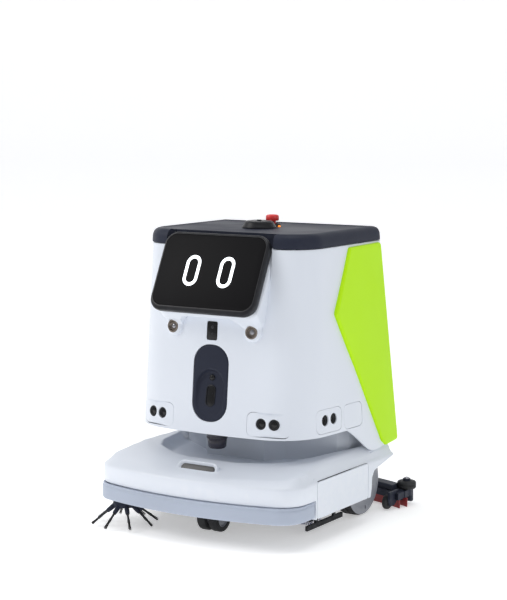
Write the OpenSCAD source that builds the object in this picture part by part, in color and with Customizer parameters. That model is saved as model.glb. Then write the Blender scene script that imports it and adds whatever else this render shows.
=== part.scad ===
// Robotic floor cleaner for commercial floors: a self-driving sweeper and scrubber.
// Millimetres, +Z up, the front faces -Y. The origin is on the floor, in the middle of the machine's box.
// Inside from_caster(), y is counted backwards from the front caster's contact with the floor.

/* [Upper body] */
// Height of the upper body's lower edge above the floor
body_z = 223; // [218:1:226]
// Height of the upper body's top edge, under the lid
body_top_z = 635; // [632:1:635]
// Half of the upper body's width at its lower edge
body_half = 246; // [244:1:247]
// Half of the upper body's width at its top edge
body_top_half = 217; // [214:1:219]
// Wall thickness of the white covers
wall = 3.5; // [3:0.1:3.8]

/* [Lid] */
// Height of the lid's lower edge
lid_z = 637; // [636:1:639]
// Height of the lid's top face
lid_top_z = 669; // [668:1:671]

/* [Base] */
// Half of the base cover's width
base_half = 262; // [260:1:263]
// Height of the base cover's lower edge above the floor
base_z = 58; // [56:1:60]

/* [Screen] */
// Width of the screen's housing
screen_w = 274; // [268:1:278]
// Height of the screen's housing along its slope
screen_h = 182; // [178:1:184]
// How far the screen leans back, in degrees
screen_tilt = 26; // [25:1:27]

/* [Running gear] */
// Radius of the drive wheels
drive_r = 76; // [75:1:76]
// Width of the drive wheels
drive_w = 40; // [36:1:42]
// Radius of the front caster's wheels
caster_r = 32; // [31:1:32]
// Radius of the roller brush over its bristles
roller_r = 44; // [42:1:44]

/* [Side brush] */
// Radius that the side brush's tufts reach on the floor
tuft_reach = 79; // [72:1:79]
// Number of tufts
tuft_count = 8; // [6:2:8]

/* [Squeegee] */
// Radius of the squeegee's curve over its rear blade
squeegee_r = 597; // [590:1:600]
// Half of the squeegee's width over its wall rollers
squeegee_half = 276; // [272:1:276]

/* [Hidden] */
$fn = 48;
FIT = 0.05;

WHITE = "#e9eef5";
NAVY = "#333847";
LIME = "#b5e832";
BLACK = "#1c1d21";
BLUE_GREY = "#b4bccb";
GREY = "#8d9298";
RED = "#a03034";

// From the middle of the box to the front caster.
CASTER_Y = -173.5;

// The upper body's outline at its lower and top edges: front apex, rear edge, front and corner radii.
FRONT_Y = -24;
TOP_FRONT_Y = 11;
REAR_Y = 396;
TOP_REAR_Y = 372;
LEAN = atan((TOP_FRONT_Y - FRONT_Y) / (body_top_z - body_z));
SIDE_LEAN = atan((body_half - body_top_half) / (body_top_z - body_z));
REAR_LEAN = atan((REAR_Y - TOP_REAR_Y) / (body_top_z - body_z));

// The lower tips of the upper body's legs, beside the base.
LEG_Z = 156;
LEG_HALF = 251;

// The base cover: front apex, crest, the raised flanks and the rear edge.
BASE_FRONT_Y = -126;
CREST_Z = 142;
FLANK_Z = 175;
BASE_REAR_Y = 372;
WELL_Z = 150;

// The bumper: its front apex, its height, its side ends and how far it can be pushed in.
BUMPER_FRONT_Y = -133;
BUMPER_Z = 63;
BUMPER_H = 35;
BUMPER_END_Y = -4;
BUMPER_T = 7;
BUMPER_TRAVEL = 4;
LEDGE_INSET = BUMPER_T + BUMPER_TRAVEL + 1.5;

// The screen's glass centre and the wheel, brush and squeegee axes.
SCREEN_Y = -19;
SCREEN_Z = 585;
WHEEL_Y = 302;
WHEEL_X = 195;
CASTER_TRAIL = 20;
BRUSH_X = -197;
BRUSH_Y = -68;
TUFT_ANGLE = 127;
ROLLER_Y = 150;
ROLLER_Z = 45;
ARM_PIVOT_Y = 345;
ARM_PIVOT_Z = 90;
SQUEEGEE_Y = 485;
SQUEEGEE_CENTRE = SQUEEGEE_Y - squeegee_r;
PORT_Y = 473;
WALL_ROLLER_X = 253.5;
WALL_ROLLER_Y = 448;
SUPPORT_Y = 380;
SUPPORT_R = 17;
ESTOP_Y = 248;
LID_PIN_Y = 368;
LID_PIN_Z = 648;
// How deep the camera and the emergency stop are seated in the lid's top.
SEAT = 0.6;
SENSOR_X = [131, 161];
SENSOR_Y = [94, 126];
CLIFF_SENSORS = [[137, -50], [208, 9]];
DOOR_PIN_X = 260.2;
DOOR_PIN_Z = 135;
BODY_FRONT_R = 1100;
FLARE = 24;
FLARE_LENGTH = 240;

module from_caster() {
    translate([0, CASTER_Y, 0]) children();
}

module both_sides() {
    children();
    mirror([1, 0, 0]) children();
}

module slab(z, t = 0.2) {
    translate([0, 0, z]) linear_extrude(t) children();
}

// A profile in y and z, drawn out along x.
module along_x(width, x = 0) {
    translate([x, 0, 0]) rotate([90, 0, 90]) linear_extrude(width, center = true) children();
}

module rounded(w, h, r) {
    offset(r = r, $fn = 32) square([max(w - 2 * r, 0.01), max(h - 2 * r, 0.01)], center = true);
}

// An outline with a bowed front, rounded front corners, straight sides and a straight rear.
module plan(front, half, front_r, corner_r, rear, inset = 0, flare = 0) {
    offset(delta = -inset) intersection() {
        offset(r = corner_r) offset(delta = -corner_r) intersection() {
            translate([0, front + front_r]) circle(r = front_r, $fn = 240);
            polygon([[-half + flare, front], [half - flare, front], [half, front + FLARE_LENGTH],
                [half, 900], [-half, 900], [-half, front + FLARE_LENGTH]]);
        }
        translate([-half, front]) square([2 * half, rear - front]);
    }
}

module base_plan(inset = 0, front = BASE_FRONT_Y) {
    plan(front, base_half, 812, 62, BASE_REAR_Y, inset);
}

module body_plan(inset = 0) {
    plan(FRONT_Y, body_half, BODY_FRONT_R, 115, REAR_Y, inset, FLARE);
}

module top_plan(inset = 0) {
    plan(TOP_FRONT_Y, body_top_half, 800, 78, TOP_REAR_Y, inset);
}

// The upper body as a solid block, drawn in by an inset.
module body_block(inset = 0) {
    hull() {
        slab(body_z) body_plan(inset);
        slab(body_top_z) top_plan(inset);
    }
}

// The block that carries the body's side walls down to the legs' tips.
module leg_block(inset = 0) {
    hull() {
        slab(WELL_Z) translate([-LEG_HALF + inset, 150 + inset])
            square([2 * (LEG_HALF - inset), 251 - 2 * inset]);
        slab(body_z + 1) translate([-body_half + inset, 150 + inset])
            square([2 * (body_half - inset), 246 - 2 * inset]);
    }
}

module leg_profile() {
    polygon([[164, 224.5], [274, LEG_Z], [340, 163], [410, 167], [410, 224.5]]);
}

// Places children on the front face, at a height, with the face's lean.
module on_front(x, z, proud = 0) {
    y = FRONT_Y + (z - body_z) * tan(LEAN) + BODY_FRONT_R - sqrt(pow(BODY_FRONT_R, 2) - x * x);
    translate([x, y, z]) rotate([90 - LEAN, 0, 0]) rotate([0, asin(x / BODY_FRONT_R), 0])
        translate([0, 0, proud]) children();
}

// Places children on the left flank, at a distance and a height.
module on_flank(y, z, proud = 0) {
    turn = atan(FLARE / FLARE_LENGTH);
    x = body_half - max(0, FRONT_Y + FLARE_LENGTH - y) * tan(turn) - (z - body_z) * tan(SIDE_LEAN);
    translate([x, y, z]) rotate([0, 0, -turn]) rotate([90 - SIDE_LEAN, 0, 90])
        translate([0, 0, proud]) children();
}

module on_screen() {
    translate([0, SCREEN_Y, SCREEN_Z]) rotate([90 - screen_tilt, 0, 0]) children();
}

module on_rear(z, proud = 0) {
    y = REAR_Y - (z - body_z) * tan(REAR_LEAN);
    translate([0, y, z]) rotate([90 - REAR_LEAN, 0, 180]) translate([0, 0, proud]) children();
}

// The side panel's outline on the flank, in y and z.
module panel_outline(inset = 0) {
    offset(r = 8 - inset, $fn = 32) offset(delta = -8)
        polygon([[218, 630], [366, 632], [398, 168], [340, 163], [322, 176], [142, 488]]);
}

// The lime panel's place: a slab that leans with the flank.
module panel_slab(inset, out, depth) {
    intersection() {
        difference() {
            hull() {
                slab(WELL_Z) translate([0, 100]) square([LEG_HALF + out, 330]);
                slab(body_top_z) translate([0, 100]) square([body_top_half + out, 330]);
            }
            hull() {
                slab(WELL_Z - 1) translate([-1, 90]) square([LEG_HALF - depth + 1, 350]);
                slab(body_top_z + 1) translate([-1, 90]) square([body_top_half - depth + 1, 350]);
            }
        }
        along_x(600, 300) panel_outline(inset);
    }
}

module screen_block(w, h, r, front, depth) {
    on_screen() translate([0, 0, front - depth]) linear_extrude(depth) rounded(w, h, r);
}

module chassis_frame() color(GREY) from_caster() {
    difference() {
        union() {
            translate([-175, -84, 100]) cube([350, 164, 6]);
            translate([-222, -66, 100]) cube([60, 50, 6]);
            translate([-160, 220, 106]) cube([320, 142, 6]);
            both_sides() translate([140, -60, 105]) cube([20, 422, 25]);
            translate([0, -CASTER_TRAIL, 77]) cylinder(h = 24, r = 20);
            both_sides() translate([150, ARM_PIVOT_Y - 10, 80]) cube([8, 20, 27]);
        }
        translate([0, -CASTER_TRAIL, 70]) cylinder(h = 60, r = 8 + FIT);
        translate([BRUSH_X, BRUSH_Y, 90]) cylinder(h = 30, r = 15.5);
        translate([-170, ARM_PIVOT_Y, ARM_PIVOT_Z]) rotate([0, 90, 0]) cylinder(h = 340, r = 4);
    }
}

module wheel_arch(grow = 0) {
    offset(delta = grow) polygon([[240, 40], [251, 59], [256, 76], [258, 103], [268, 117],
        [283, 121], [362, 137], [380, 158], [420, 158], [420, 40]]);
}

module well_opening(grow = 0) {
    offset(r = 6 + grow) offset(delta = -6) polygon([[-60, 4], [60, 4], [120, 20], [168, 48], [190, 92],
        [204, 170], [218, 220], [225, 270], [225, 330], [-225, 330], [-225, 270], [-218, 220],
        [-204, 170], [-190, 92], [-168, 48], [-120, 20]]);
}

module base_block(inset = 0) {
    hull() {
        slab(base_z - inset) base_plan(inset);
        slab(CREST_Z - 7 - inset) base_plan(inset);
        slab(CREST_Z - inset) base_plan(inset + 2.5);
        slab(CREST_Z + 8 - inset) intersection() {
            base_plan(inset + 8);
            translate([-300, -80]) square([600, 500]);
        }
        slab(FLANK_Z - inset) translate([-230 + inset, 75])
            square([460 - 2 * inset, BASE_REAR_Y - 75 - inset]);
    }
}

// The space behind the bumper, which it is pushed into.
module bumper_recess() {
    translate([0, 0, base_z - 5]) linear_extrude(BUMPER_Z + BUMPER_H + 3 - base_z + 5) difference() {
        translate([-300, -200]) square([600, 200 + BUMPER_END_Y + BUMPER_TRAVEL + 2]);
        base_plan(LEDGE_INSET);
    }
}

// resize() with sizes of 0 changes no size; it gathers the cover into one mesh.
module base_cover() color(WHITE) from_caster() resize([0, 0, 0]) {
    difference() {
        union() {
            difference() {
                base_block();
                base_block(wall);
                translate([0, 0, base_z - 5]) linear_extrude(8) base_plan(wall);
            }
            // The wall and ledge behind the bumper.
            intersection() {
                translate([0, 0, base_z]) linear_extrude(BUMPER_H + 9) difference() {
                    base_plan();
                    base_plan(LEDGE_INSET + wall);
                }
                translate([-300, -200, 0]) cube([600, 206, 200]);
            }
        }
        bumper_recess();
        translate([0, 0, WELL_Z]) linear_extrude(60) well_opening();
        along_x(700) wheel_arch();
        translate([-240, 300, 50]) cube([480, 90, 150]);
        // Where the upper body's legs lie against the flanks.
        both_sides() along_x(20, 256.5) offset(delta = 0.8) leg_profile();
        // The brush door's opening, on the left flank, and its hinge pins' holes.
        along_x(30, base_half) translate([124, 95]) rounded(232, 92, 8);
        for (y = [9, 246]) translate([DOOR_PIN_X, y, DOOR_PIN_Z])
            rotate([90, 0, 0]) cylinder(h = 7, r = 1.35);
        // The slot for the front light.
        translate([0, -60, 140]) linear_extrude(30) rounded(102, 26, 12);
    }
}

module base_pan() color(GREY) from_caster() {
    translate([0, 0, base_z + 0.5]) linear_extrude(3) difference() {
        intersection() {
            base_plan(LEDGE_INSET + wall + 0.5);
            translate([-300, -200]) square([600, 282]);
        }
        translate([0, -CASTER_TRAIL]) square(126, center = true);
        translate([BRUSH_X, BRUSH_Y]) circle(r = 30);
        both_sides() for (p = CLIFF_SENSORS) translate(p) circle(r = 9.2);
    }
}

module core_plan(inset = 0) {
    offset(delta = -inset) polygon([[-76, 88], [76, 88], [108, 130], [203, 197], [216, 232], [216, 344],
        [-216, 344], [-216, 232], [-203, 197], [-108, 130]]);
}

module sensor_well() color(BLUE_GREY) from_caster() {
    difference() {
        union() {
            translate([0, 0, WELL_Z - 3]) linear_extrude(3) well_opening(-1);
            translate([0, 0, WELL_Z - 1]) linear_extrude(body_z - WELL_Z) core_plan();
        }
        translate([0, 0, WELL_Z - 10]) linear_extrude(100) core_plan(3);
        // The rear is open for the suction hose, and the floor over the drive wheels.
        translate([-60, 330, WELL_Z - 10]) cube([120, 20, 100]);
        both_sides() translate([WHEEL_X - 24, WHEEL_Y - 36, WELL_Z - 10]) cube([48, 72, 14.5]);
    }
}

module slot_window() color("#4c4c4c") from_caster() {
    difference() {
        translate([0, -60, 140.4]) linear_extrude(6) rounded(100, 24, 12);
        translate([0, -60, 144]) linear_extrude(6) rounded(86, 15, 7.5);
    }
    translate([0, -60, 144.2]) linear_extrude(1.8) rounded(85, 14, 7);
}

module upper_shell() color(WHITE) from_caster() {
    difference() {
        union() {
            body_block();
            intersection() {
                leg_block();
                along_x(600) leg_profile();
            }
        }
        body_block(wall);
        leg_block(wall);
        translate([0, 0, body_z - 1]) linear_extrude(2) body_plan(wall);
        translate([0, 0, body_top_z - 1]) linear_extrude(3) top_plan(wall);
        translate([-LEG_HALF + 8, 164, 100]) cube([2 * LEG_HALF - 16, 300, 140]);
        // Pockets for the side panels, the screen, the rear cover and the nose.
        both_sides() panel_slab(-0.4, 4, 1.6);
        screen_block(screen_w + 2, screen_h + 2, 22, 10, 50);
        on_rear(410) linear_extrude(20, center = true) rounded(342, 402, 20);
        on_front(0, 336) linear_extrude(30, center = true) rounded(93, 172, 42);
        on_front(0, 452) linear_extrude(20, center = true) rounded(28, 42, 4);
        sensor_plate_prisms(98, 54);
        both_sides() on_front(103, 455) cylinder(h = 40, r = 15, center = true);
    }
}

module rear_cover() color(WHITE) from_caster() {
    difference() {
        on_rear(410, -wall) linear_extrude(wall) rounded(340, 400, 19);
        for (x = [-150, 150], z = [240, 580])
            on_rear(z) translate([x, 0, 0]) cylinder(h = 20, r = 2.6, center = true);
        on_rear(290) linear_extrude(20, center = true) rounded(122, 42, 8);
    }
}

module underside_pan() color(BLUE_GREY) from_caster() {
    difference() {
        translate([0, 0, body_z]) linear_extrude(3) body_plan(wall + 1);
        translate([0, 0, body_z - 1]) linear_extrude(5) core_plan(8);
        translate([0, 14, body_z - 1]) cylinder(h = 5, r = 24);
        both_sides() translate([228, 150, body_z - 1]) cube([30, 260, 5]);
    }
}

module side_panel() color(LIME) from_caster() {
    panel_slab(0, 0.8, 1.2);
}
module side_panel_left() side_panel();
module side_panel_right() mirror([1, 0, 0]) side_panel();

module screen_mount() color(WHITE) from_caster() {
    difference() {
        union() {
            along_x(236) polygon([[-4, 462], [-20, 484], [-17, 500], [16, 556], [30, 556], [-2, 462]]);
            both_sides() on_front(103, 455, 9) translate([0, 0, -10]) cylinder(h = 10, r = 21);
        }
        body_block(-0.1);
        screen_block(screen_w + 1, screen_h + 1, 22, 10, 39.6);
        both_sides() on_front(103, 455) cylinder(h = 40, r = 15, center = true);
        on_front(0, 455) linear_extrude(60, center = true) rounded(150, 44, 20);
    }
}

module screen_housing() color(BLACK) from_caster() {
    difference() {
        screen_block(screen_w, screen_h, 22, 0, 36);
        screen_block(screen_w - 12, screen_h - 12, 16, 1, 5);
    }
}

module screen_glass() color("#222124") from_caster() {
    difference() {
        screen_block(screen_w - 13, screen_h - 13, 15.5, -0.4, 3.4);
        for (x = [-44, 45]) on_screen() translate([x, 0, -1.4]) eye_ring(0.2);
    }
}

// One eye: a plain rounded ring.
module eye_ring(grow = 0) {
    linear_extrude(4) difference() {
        rounded(38 + grow, 72 + grow, 19);
        rounded(20 - grow, 54 - grow, 9.9);
    }
}

module screen_eyes() color("white") from_caster() {
    intersection() {
        for (x = [-44, 45]) on_screen() translate([x, 0, -1.3]) eye_ring();
        screen_block(screen_w, screen_h, 16, -0.4, 3.4);
    }
}

module camera_window() color(BLACK) from_caster() {
    on_front(0, 452, 0.3) translate([0, 0, -8]) linear_extrude(8) rounded(27, 41, 3.5);
}

module corner_lenses() color("#857a70") from_caster() {
    both_sides() on_front(103, 455, 8.5) translate([0, 0, -14]) {
        difference() {
            cylinder(h = 14, r = 14.5);
            translate([0, 0, 10]) cylinder(h = 5, r = 10);
        }
        translate([0, 0, 10]) cylinder(h = 2.5, r = 5);
    }
}

module nose_panel() color(NAVY) from_caster() {
    difference() {
        on_front(0, 336, -1) translate([0, 0, -12]) linear_extrude(12) rounded(92, 171, 41.5);
        on_front(0, 336, -1) translate([0, 0, -9]) linear_extrude(4) rounded(84, 163, 38);
        on_front(0, 310) linear_extrude(40, center = true) rounded(22, 46, 9);
        on_front(0, 348) cylinder(h = 40, r = 6.2, center = true);
    }
}

module nose_lenses() color(BLACK) from_caster() {
    on_front(0, 310, -5) translate([0, 0, -7]) linear_extrude(6) rounded(21, 45, 8.5);
    on_front(0, 348, -3) translate([0, 0, -9]) cylinder(h = 9, r = 6);
}

// The rounded outlines of the plates around the sensors, drawn through the wall.
module sensor_plate_prisms(w, h) {
    both_sides() {
        on_front(146, 255) linear_extrude(60, center = true) rounded(w, h, 14);
        on_flank(110, 256) linear_extrude(40, center = true) rounded(w - 4, h, 14);
    }
}

module sensor_plates() color("#dfe4ec") from_caster() difference() {
    intersection() {
        sensor_plate_prisms(97.2, 53.2);
        difference() {
            body_block();
            body_block(wall);
        }
    }
    both_sides() {
        for (x = SENSOR_X) on_front(x, 257) cylinder(h = 60, r = 12.5, center = true);
        for (y = SENSOR_Y) on_flank(y, 258) cylinder(h = 60, r = 12.5, center = true);
    }
}

module ultrasonic_sensors() color("#2b2d33") from_caster() {
    both_sides() {
        for (x = SENSOR_X) on_front(x, 257, -5) translate([0, 0, -14]) sensor();
        for (y = SENSOR_Y) on_flank(y, 258, -5) translate([0, 0, -14]) sensor();
    }
}

module sensor() {
    difference() {
        cylinder(h = 14, r = 12);
        translate([0, 0, 13]) cylinder(h = 2, r = 9);
    }
}

module lidar_body() color("#2f2e3e") from_caster() translate([0, 14, 0]) {
    translate([0, 0, 208]) cylinder(h = 24, r = 23.5);
    translate([0, 0, 190]) cylinder(h = 18, r1 = 20.5, r2 = 22);
    translate([0, 0, 186]) cylinder(h = 4, r1 = 17.5, r2 = 20.5);
    translate([0, 0, 232]) cylinder(h = 10, r = 30);
}

module cliff_sensors() color(GREY) from_caster() {
    both_sides() for (p = CLIFF_SENSORS) translate([p[0], p[1], 50]) {
        cylinder(h = base_z - 46.5, r = 9);
        translate([0, 0, base_z - 46.5]) cylinder(h = 4, r = 12);
    }
}

module tank(y0, y1) {
    difference() {
        translate([-165, y0, 262]) cube([330, y1 - y0, 350]);
        translate([-161, y0 + 4, 266]) cube([322, y1 - y0 - 8, 342]);
        translate([90, (y0 + y1) / 2, 600]) cylinder(h = 20, r = 36);
        translate([-70, (y0 + y1) / 2, 600]) linear_extrude(20) rounded(120, 32, 14);
    }
}

module clean_tank() color("#d7e3ee") from_caster() tank(78, 208);
module recovery_tank() color("#aab3bf") from_caster() tank(214, 350);

module tank_caps() color(NAVY) from_caster() for (y = [143, 282]) {
    translate([90, y, 604]) cylinder(h = 8, r = 35.7);
    translate([90, y, 612]) cylinder(h = 9, r = 41);
    translate([-70, y, 612]) linear_extrude(5) rounded(132, 44, 16);
}

module battery_pack() color(BLACK) from_caster() {
    translate([-135, 222, 113]) cube([270, 111, 117]);
    both_sides() translate([60, 260, 230]) cube([12, 40, 14]);
}

module control_box() color(GREY) from_caster() {
    translate([-110, 22, 300]) cube([220, 42, 170]);
    for (z = [318, 352, 386, 420]) translate([-96, 64, z]) cube([192, 5, 16]);
}

module vacuum_motor() color("#3a3c42") from_caster() translate([0, 155, 113]) {
    cylinder(h = 96, r = 52);
    translate([0, 0, 96]) cylinder(h = 16, r = 30);
    translate([0, 0, 112]) cylinder(h = 36, r = 18);
}

module water_pump() color("#55585f") from_caster() {
    translate([100, 197, 113]) cylinder(h = 58, r = 21);
    translate([100, 197, 171]) cylinder(h = 20, r = 8);
}

module gear_motors() color("#6a6d74") from_caster() both_sides() translate([0, WHEEL_Y, drive_r]) {
    rotate([0, 90, 0]) translate([0, 0, 62]) cylinder(h = 108, r = 29);
    rotate([0, 90, 0]) translate([0, 0, 170]) cylinder(h = 22, r = 9);
}

module side_brush_motor() color("#6a6d74") from_caster() translate([BRUSH_X, BRUSH_Y, 0]) {
    difference() {
        union() {
            translate([0, 0, 66]) cylinder(h = 62, r = 15);
            translate([0, 0, 106.2]) cylinder(h = 4, r = 22);
        }
        translate([0, 0, 60]) cylinder(h = 30, r = 5 + FIT);
    }
}

module charge_contacts() color("#c9a25a") from_caster() {
    on_rear(290, -3) linear_extrude(3) rounded(121, 41, 7.5);
    for (x = [-32, 32]) on_rear(290) translate([x, 0, 0]) linear_extrude(2.5) rounded(44, 16, 3);
}

// The lid's outline: the body's top, cut back around the screen.
module lid_plan(inset = 0) {
    difference() {
        plan(TOP_FRONT_Y - 1, body_top_half + 2, 800, 78, TOP_REAR_Y + 1, inset);
        offset(delta = inset) translate([-(screen_w / 2 + 3), -20]) square([screen_w + 6, 78]);
    }
}

module lid_outer_plan(inset = 0) {
    plan(TOP_FRONT_Y - 1, body_top_half + 2, 800, 78, TOP_REAR_Y + 1, inset);
}

module lid_shell() color(NAVY) from_caster() resize([0, 0, 0]) difference() {
    intersection() {
        hull() {
            slab(lid_z) lid_outer_plan();
            slab(lid_z + 16) lid_outer_plan(1);
            slab(lid_top_z - 6) lid_outer_plan(6);
            slab(lid_top_z - 0.2) lid_outer_plan(16);
        }
        translate([0, 0, 600]) linear_extrude(100) lid_plan();
    }
    translate([0, 0, lid_z - 10]) linear_extrude(lid_top_z - lid_z + 6) lid_plan(22);
    translate([-230, LID_PIN_Y, LID_PIN_Z]) rotate([0, 90, 0]) cylinder(h = 460, r = 2);
    translate([-182, 352, lid_z - 10]) cube([364, 30, 31]);
    translate([0, 190, lid_top_z - 10]) cylinder(h = 20, r = 31);
    translate([0, 190, lid_top_z - SEAT]) cylinder(h = 20, r = 39.3);
    translate([0, ESTOP_Y, lid_top_z - 10]) cylinder(h = 20, r = 17);
    translate([0, ESTOP_Y, lid_top_z - SEAT]) cylinder(h = 20, r = 19.3);
    translate([26, 236, lid_top_z - 10]) cylinder(h = 20, r = 3.2);
}

module lid_pins() color(GREY) from_caster() both_sides() {
    translate([165, LID_PIN_Y, LID_PIN_Z]) rotate([0, 90, 0]) cylinder(h = 30, r = 2 - FIT);
    along_x(12, 171) polygon([[361, 606], [367.5, 606], [367.5, 634], [371, 641], [371, 652], [361, 652]]);
}

module top_camera() color(NAVY) from_caster() translate([0, 190, 0]) {
    translate([0, 0, lid_top_z - 8]) cylinder(h = 8, r = 30);
    translate([0, 0, lid_top_z - SEAT]) cylinder(h = 14 + SEAT, r1 = 39, r2 = 34);
    translate([0, 0, lid_top_z + 14]) cylinder(h = 3, r1 = 33, r2 = 30);
}

module emergency_stop_base() color(BLACK) from_caster() translate([0, ESTOP_Y, 0]) {
    difference() {
        union() {
            translate([0, 0, lid_top_z - 10]) cylinder(h = 10, r = 16);
            translate([0, 0, lid_top_z - SEAT]) cylinder(h = 5 + SEAT, r = 19);
        }
        translate([0, 0, lid_top_z - 11]) cylinder(h = 20, r = 8.4);
    }
}

module emergency_stop_button() color(RED) from_caster() translate([0, ESTOP_Y, 0]) {
    translate([0, 0, lid_top_z - 6]) cylinder(h = 17, r = 8);
    translate([0, 0, lid_top_z + 11]) cylinder(h = 11, r1 = 14.5, r2 = 15.5);
    translate([0, 0, lid_top_z + 22]) cylinder(h = 4, r1 = 15.5, r2 = 13);
}

module status_light() color("orange") from_caster()
    translate([26, 236, lid_top_z - 3]) cylinder(h = 4.2, r = 3);

module drive_wheel() {
    from_caster() translate([WHEEL_X - drive_w / 2, WHEEL_Y, drive_r]) rotate([0, 90, 0]) children();
}

module tyre() color(BLACK) drive_wheel() difference() {
    union() {
        cylinder(h = drive_w, r = drive_r - 3);
        translate([0, 0, 4]) cylinder(h = drive_w - 8, r = drive_r);
    }
    translate([0, 0, -1]) cylinder(h = drive_w + 2, r = 60);
}

module hub() color(GREY) drive_wheel() difference() {
    union() {
        translate([0, 0, 2]) cylinder(h = drive_w - 2, r = 60);
        translate([0, 0, drive_w]) cylinder(h = 2, r = 50);
    }
    translate([0, 0, -1]) cylinder(h = 20, r = 9 + FIT);
    for (a = [0 : 72 : 288]) rotate([0, 0, a]) translate([38, 0, drive_w - 4]) cylinder(h = 10, r = 3.2);
}

module tyre_left() tyre();
module wheel_hub_left() hub();
module tyre_right() mirror([1, 0, 0]) tyre();
module wheel_hub_right() mirror([1, 0, 0]) hub();

module caster_fork() color(GREY) from_caster() {
    translate([0, -CASTER_TRAIL, 68]) cylinder(h = 8, r = 22);
    translate([0, -CASTER_TRAIL, 76]) cylinder(h = 28, r = 8);
    along_x(6) polygon([[-12, 26], [10, 22], [12, 36], [2, 69], [-38, 69], [-36, 60]]);
    translate([-28, 0, caster_r]) rotate([0, 90, 0]) cylinder(h = 56, r = 4);
}

module caster_wheels() color(BLACK) from_caster() both_sides()
    translate([4, 0, caster_r]) rotate([0, 90, 0]) difference() {
        union() {
            translate([0, 0, 4]) cylinder(h = 14, r = caster_r);
            cylinder(h = 4, r1 = caster_r - 4, r2 = caster_r);
            translate([0, 0, 18]) cylinder(h = 5, r1 = caster_r, r2 = caster_r - 6);
        }
        translate([0, 0, -1]) cylinder(h = 30, r = 4 + FIT);
    }

module side_brush_hub() color(NAVY) from_caster() translate([BRUSH_X, BRUSH_Y, 0]) {
    translate([0, 0, 56]) cylinder(h = 30, r = 5);
    difference() {
        union() {
            translate([0, 0, 44]) cylinder(h = 12, r = 27);
            for (i = [0 : tuft_count - 1]) rotate([0, 0, i * 360 / tuft_count])
                translate([20, 0, 50]) rotate([0, TUFT_ANGLE, 0]) cylinder(h = 26, r = 5);
        }
        for (i = [0 : tuft_count - 1]) rotate([0, 0, i * 360 / tuft_count])
            translate([20, 0, 50]) rotate([0, TUFT_ANGLE, 0]) translate([0, 0, 10]) cylinder(h = 30, r = 3.4);
    }
}

module side_brush_tufts() color(BLACK) from_caster() translate([BRUSH_X, BRUSH_Y, 0])
    for (i = [0 : tuft_count - 1]) rotate([0, 0, i * 360 / tuft_count])
        translate([20, 0, 50]) rotate([0, TUFT_ANGLE, 0]) {
            translate([0, 0, 10]) cylinder(h = 52, r = 3.4);
            translate([0, 0, 62]) cylinder(h = 8.1 - (79 - tuft_reach) / sin(TUFT_ANGLE), r1 = 3.4, r2 = 5);
        }

module brush_deck() color("#4a4d55") from_caster() {
    difference() {
        translate([-192, 98, 24]) cube([384, 104, 69]);
        translate([-188.5, 100.5, 20]) cube([377, 99, 70.5]);
        translate([-200, ROLLER_Y, ROLLER_Z]) rotate([0, 90, 0]) cylinder(h = 400, r = 6 + FIT);
    }
    both_sides() for (y = [106, 186]) translate([191, y, 26]) cube([12, 8, 14]);
}

module side_skirts() color(BLACK) from_caster() both_sides() {
    translate([197, 68, 10]) cube([6, 159, 11]);
    for (y = [106, 186]) translate([197, y, 21]) cube([6, 8, 5]);
}

module brush_motor() color("#6a6d74") from_caster()
    translate([-242, ROLLER_Y, ROLLER_Z + 2]) rotate([0, 90, 0]) cylinder(h = 49, r = 22);

module roller_core() color(NAVY) from_caster() translate([0, ROLLER_Y, ROLLER_Z]) rotate([0, 90, 0]) {
    translate([0, 0, -184]) cylinder(h = 368, r = 26);
    translate([0, 0, -191]) cylinder(h = 382, r = 6);
}

module roller_bristles() color("#2d3c70") from_caster()
    translate([0, ROLLER_Y, ROLLER_Z]) rotate([0, 90, 0]) difference() {
        translate([0, 0, -180]) cylinder(h = 360, r = roller_r);
        translate([0, 0, -190]) cylinder(h = 380, r = 26);
    }

module bumper() color(BLUE_GREY) from_caster() intersection() {
    difference() {
        union() {
            translate([0, 0, BUMPER_Z]) linear_extrude(BUMPER_H - 2) bumper_plan();
            translate([0, 0, BUMPER_Z]) linear_extrude(BUMPER_H) bumper_plan(2.5);
        }
        translate([0, 0, BUMPER_Z - 1]) linear_extrude(BUMPER_H + 2) bumper_plan(BUMPER_T);
    }
    translate([-300, -200, 0]) cube([600, 200 + BUMPER_END_Y, 200]);
}

module bumper_plan(inset = 0) {
    plan(BUMPER_FRONT_Y, base_half + 1, 812, 64, BASE_REAR_Y, inset);
}

module brush_door() color(WHITE) from_caster() {
    difference() {
        along_x(3.5, base_half - 1.75) translate([124, 98.6]) rounded(229, 80.4, 7);
        along_x(2.2, base_half) translate([124, 73]) rounded(26, 8, 3.5);
    }
    for (y = [10, 244]) translate([DOOR_PIN_X, y, DOOR_PIN_Z]) rotate([90, 0, 0]) cylinder(h = 6, r = 1.25);
}

module squeegee_arm() color(GREY) from_caster() both_sides() {
    along_x(8, 143) polygon([[335, 82], [335, 98], [353, 98], [400, 68], [462, 54], [462, 38], [438, 38],
        [385, 52], [350, 80]]);
    translate([140, ARM_PIVOT_Y, ARM_PIVOT_Z]) rotate([0, 90, 0]) cylinder(h = 21, r = 4 - FIT);
}

// A curved strip of the squeegee, between two radii, out to a distance from the middle.
module squeegee_strip(inner, outer, half, z, h) {
    translate([0, 0, z]) linear_extrude(h) intersection() {
        translate([0, SQUEEGEE_CENTRE]) difference() {
            circle(r = outer, $fn = 180);
            circle(r = inner, $fn = 180);
        }
        translate([-half, 300]) square([2 * half, 300]);
    }
}

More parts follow.
